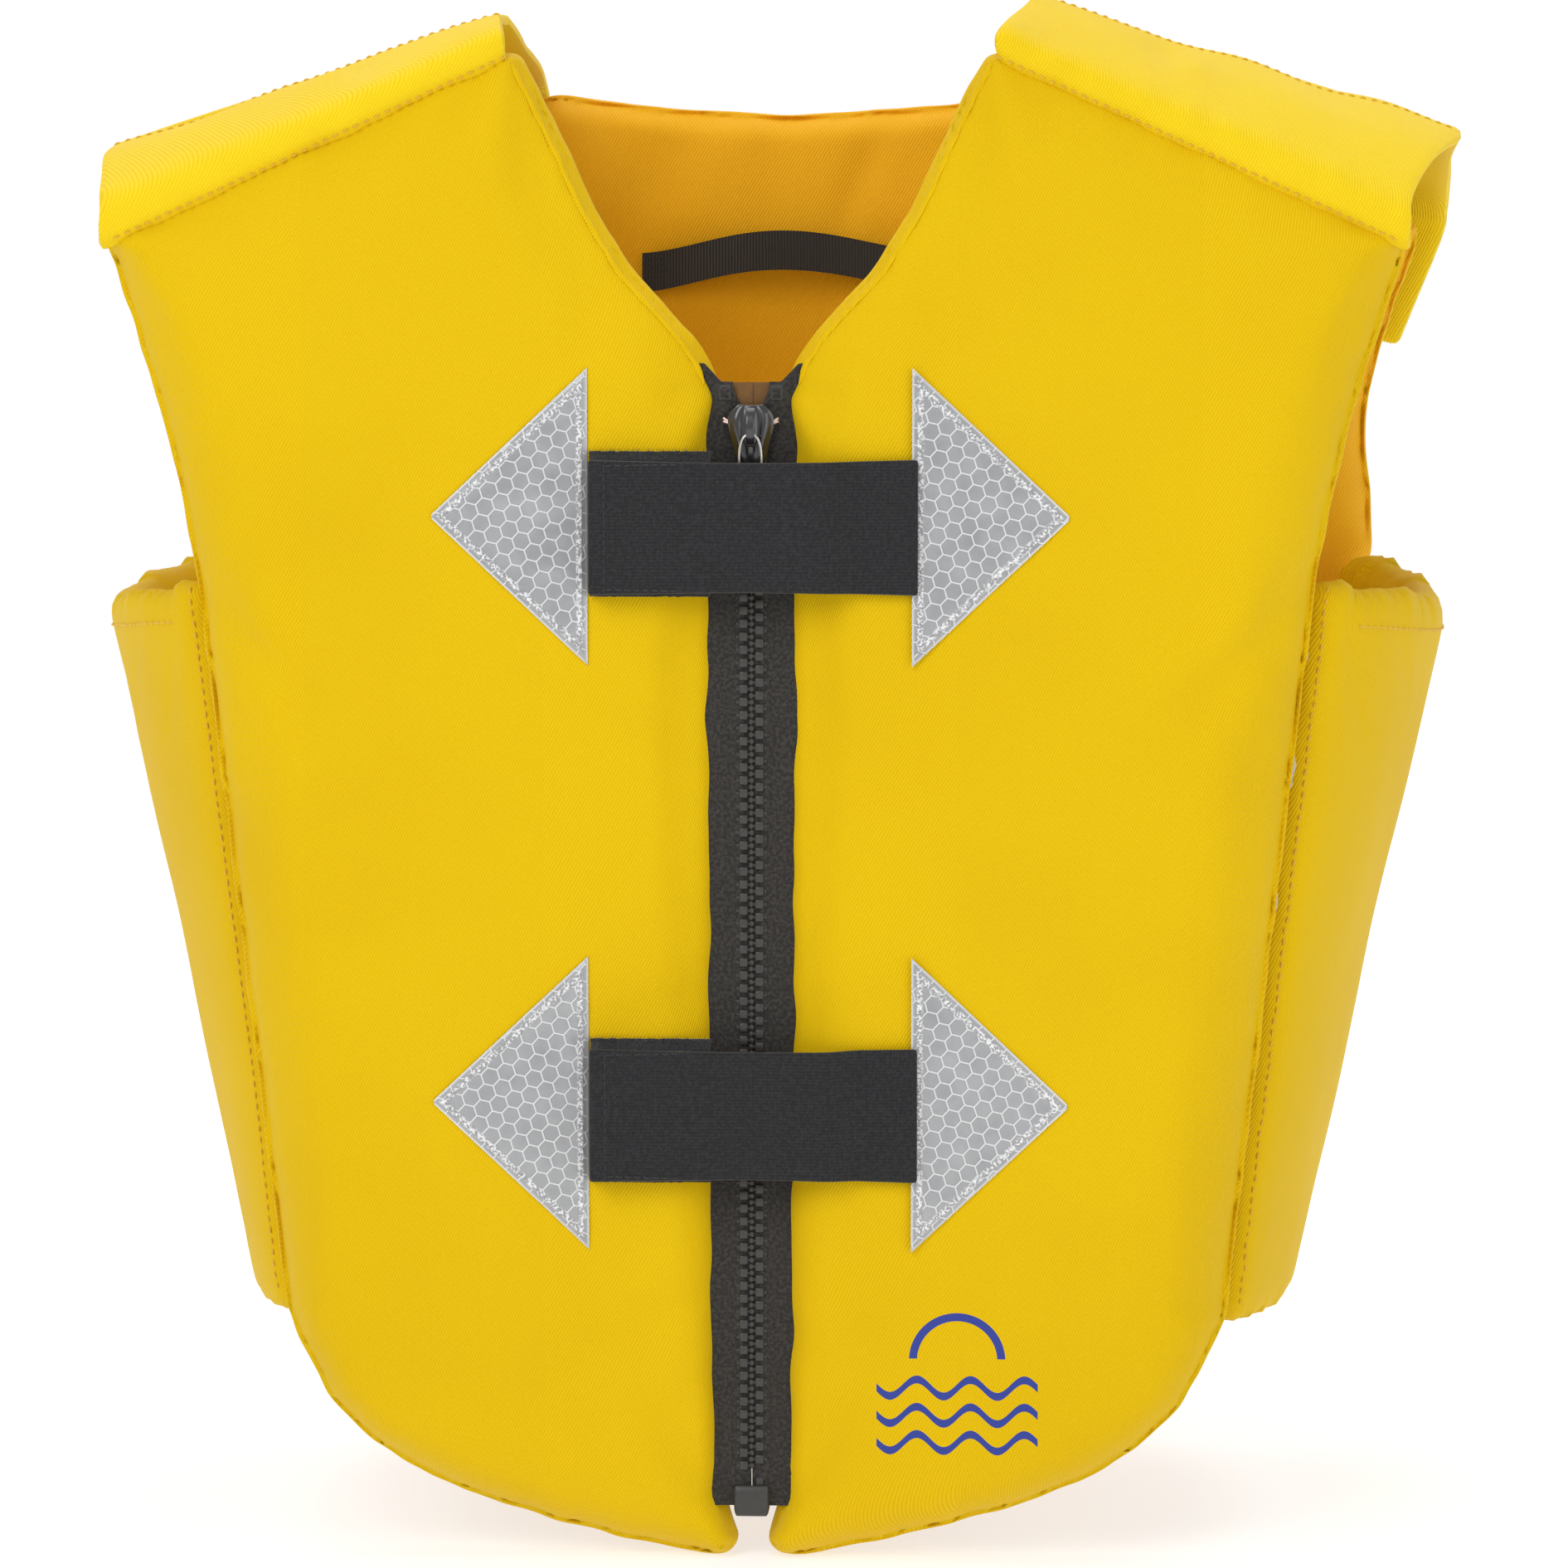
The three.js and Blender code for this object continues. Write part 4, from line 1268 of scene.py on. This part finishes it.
for name, facing in (("slider_dome", -1), ("slider_back", 1)):
    grid = []
    for i in range(29):
        t = i / 28
        z = low.z + (high.z - low.z) * spline([(a, b, 0) for a, b in DOME], t).x
        row = []
        for j in range(29):
            v = 2 * j / 28 - 1
            bulge = 0.0016 * (1 - v * v) * math.sin(math.pi * min(1.0, t * 0.8 + 0.2)) ** 0.6
            flute = 0.00040 * math.cos(v * math.pi * 3.2) * math.sin(math.pi * t)
            lift = bulge + flute if facing < 0 else 0.0005 * (1 - v * v)
            row.append(Vector((v * shield_half(t), zip_y + facing * (0.0027 + lift), z)))
        grid.append(row)
    plate = cushion_sheet(name, grid, 0.0011 * facing, lacquer)
    refine(plate)
    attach(plate, "zip_slider")
    if facing < 0:
        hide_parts("zip_slider")

grid = []
for i in range(41):
    t = i / 40
    z = high.z - 0.0006 - 0.0128 * t
    arch = math.sin(math.pi * min(1.0, t * 1.15)) ** 0.55 if t < 0.87 else 0.0
    y = face_y + 0.0008 - 0.0034 * arch
    width = 0.00135 - 0.00025 * math.sin(math.pi * t)
    grid.append([Vector(((2 * j / 6 - 1) * width, y, z)) for j in range(7)])
bail = cushion_sheet("slider_bail", grid, 0.0011, lacquer)
refine(bail)
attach(bail, "zip_slider")


def tube(bm, points, radius, closed=False, sides=10):
    """Adds a round wire along the points."""
    hoops = []
    count = len(points)
    for i, place in enumerate(points):
        after = points[(i + 1) % count] if closed else points[min(i + 1, count - 1)]
        before = points[i - 1] if closed or i else points[0]
        heading = (after - before).normalized()
        across = heading.cross(Vector((0, 1, 0.01))).normalized()
        up = heading.cross(across).normalized()
        hoops.append(hoop(bm, place, across * radius, up * radius, sides))
    skin(bm, hoops, closed)


bm = bmesh.new()
for side in (-1, 1):
    for lean in (-0.4, 0.5):
        root = Vector((side * slider_half * 0.80, face_y + 0.0022, high.z - 0.0052))
        bent = [root + Vector((side * 0.0022 * s, -0.0008 * s, (0.0012 + lean * 0.0010) * s))
                for s in (0, 0.5, 1)]
        tube(bm, bent, 0.00046)
spring_ends = put("slider_spring_ends", mesh_of(bm), brass)
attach(spring_ends, "zip_slider")

pull_low, pull_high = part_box("zip_pull")
ring_y = (pull_low.y + pull_high.y) / 2
grip_top = pull_low.z + 0.0135
ring = []
for i in range(48):
    a = 2 * math.pi * i / 48
    reach = 0.0029
    long = (pull_high.z - 0.0008 - grip_top) / 2 + 0.0008
    square = 0.75
    x = math.copysign(abs(math.cos(a)) ** square, math.cos(a)) * reach
    z = math.copysign(abs(math.sin(a)) ** square, math.sin(a)) * long
    ring.append(Vector((x, ring_y, (pull_high.z - 0.0005 + grip_top) / 2 - 0.0004 + z)))
bm = bmesh.new()
tube(bm, ring, 0.00042, closed=True)
wire = put("pull_wire_ring", mesh_of(bm), steel_wire)
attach(wire, "zip_pull")
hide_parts("zip_pull")
grid = []
for i in range(25):
    t = i / 24
    half = 0.0038 * (0.82 + 0.18 * math.sin(math.pi * t)) * (1 - 0.25 * max(0, 0.1 - t) / 0.1)
    groove = 0.00028 * math.cos(t * math.pi * 10) * (0.2 < t < 0.9)
    z = pull_low.z + (grip_top - pull_low.z) * t
    grid.append([Vector(((2 * j / 10 - 1) * half, ring_y - 0.0010 - groove, z)) for j in range(11)])
grip = cushion_sheet("pull_grip", grid, -0.0020, resin)
refine(grip)
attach(grip, "zip_pull")


# ---------------------------------------------------------------- Hanging loop
# Black ribbed grosgrain ribbon, folded under and sewn down at both ends inside the neck.
def grosgrain():
    made = Finish("grosgrain", (0.016, 0.014, 0.013), 0.7, Sheen_Weight=0.25, Specular_IOR_Level=0.35)
    rib = made.wave(made.x + made.noise(90, 1) * 0.0002, 0.00088)
    fleck = made.noise(1200, 2)
    made.feed("Base Color", made.mix(rib * 0.6 + fleck * 0.4, (0.007, 0.006, 0.006), (0.040, 0.036, 0.033)))
    made.feed("Roughness", 0.60 + fleck * 0.25)
    made.raise_surface(rib, 0.00035)
    return made.material


low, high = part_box("hanger_loop")
RIBBON_WIDTH = 0.011
RIBBON_RISE = high.z - low.z - RIBBON_WIDTH
grid = []
for i in range(73):
    t = i / 72
    hump = math.sin(math.pi * t) ** 2
    row = []
    for j in range(9):
        v = j / 8
        slant = 0.0012 * (v - 0.5) * math.sin(2 * math.pi * t)
        place = Vector((low.x + (high.x - low.x) * t + slant, 0, 0))
        place.z = low.z + RIBBON_WIDTH * v + RIBBON_RISE * hump + 0.0006 * math.sin(t * 9)
        place.y = high.y - 0.0014 - (high.y - low.y - 0.0016) * hump - 0.0005 * (1 - hump)
        row.append(place)
    grid.append(row)
ribbon = cushion_sheet("hanging_ribbon", grid, -0.0010, grosgrain())
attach(ribbon, "back")
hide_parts("hanger_loop")
ribbon_tree = tree_of(ribbon)
tacks = []
for x in (low.x + 0.002, low.x + 0.0055, high.x - 0.0055, high.x - 0.002):
    row = []
    for i in range(9):
        z = low.z + 0.0012 + (RIBBON_WIDTH - 0.0024) * i / 8 + RIBBON_RISE * 0.04
        row.append(on_surface(ribbon_tree, (x, 0, z), (0, 1, 0), (x, high.y - 0.0015, z)))
    tacks.append(row)
stitches("hanging_ribbon_stitches", tacks, "back", black_thread, pitch=0.0017, length=0.0012,
         thick=0.00018, seed=31)

for word in ("left", "right"):
    dress(f"shoulder_loop_tape_{word}", yellow_pile)
    dress(f"shoulder_hook_tape_{word}", yellow_pile)
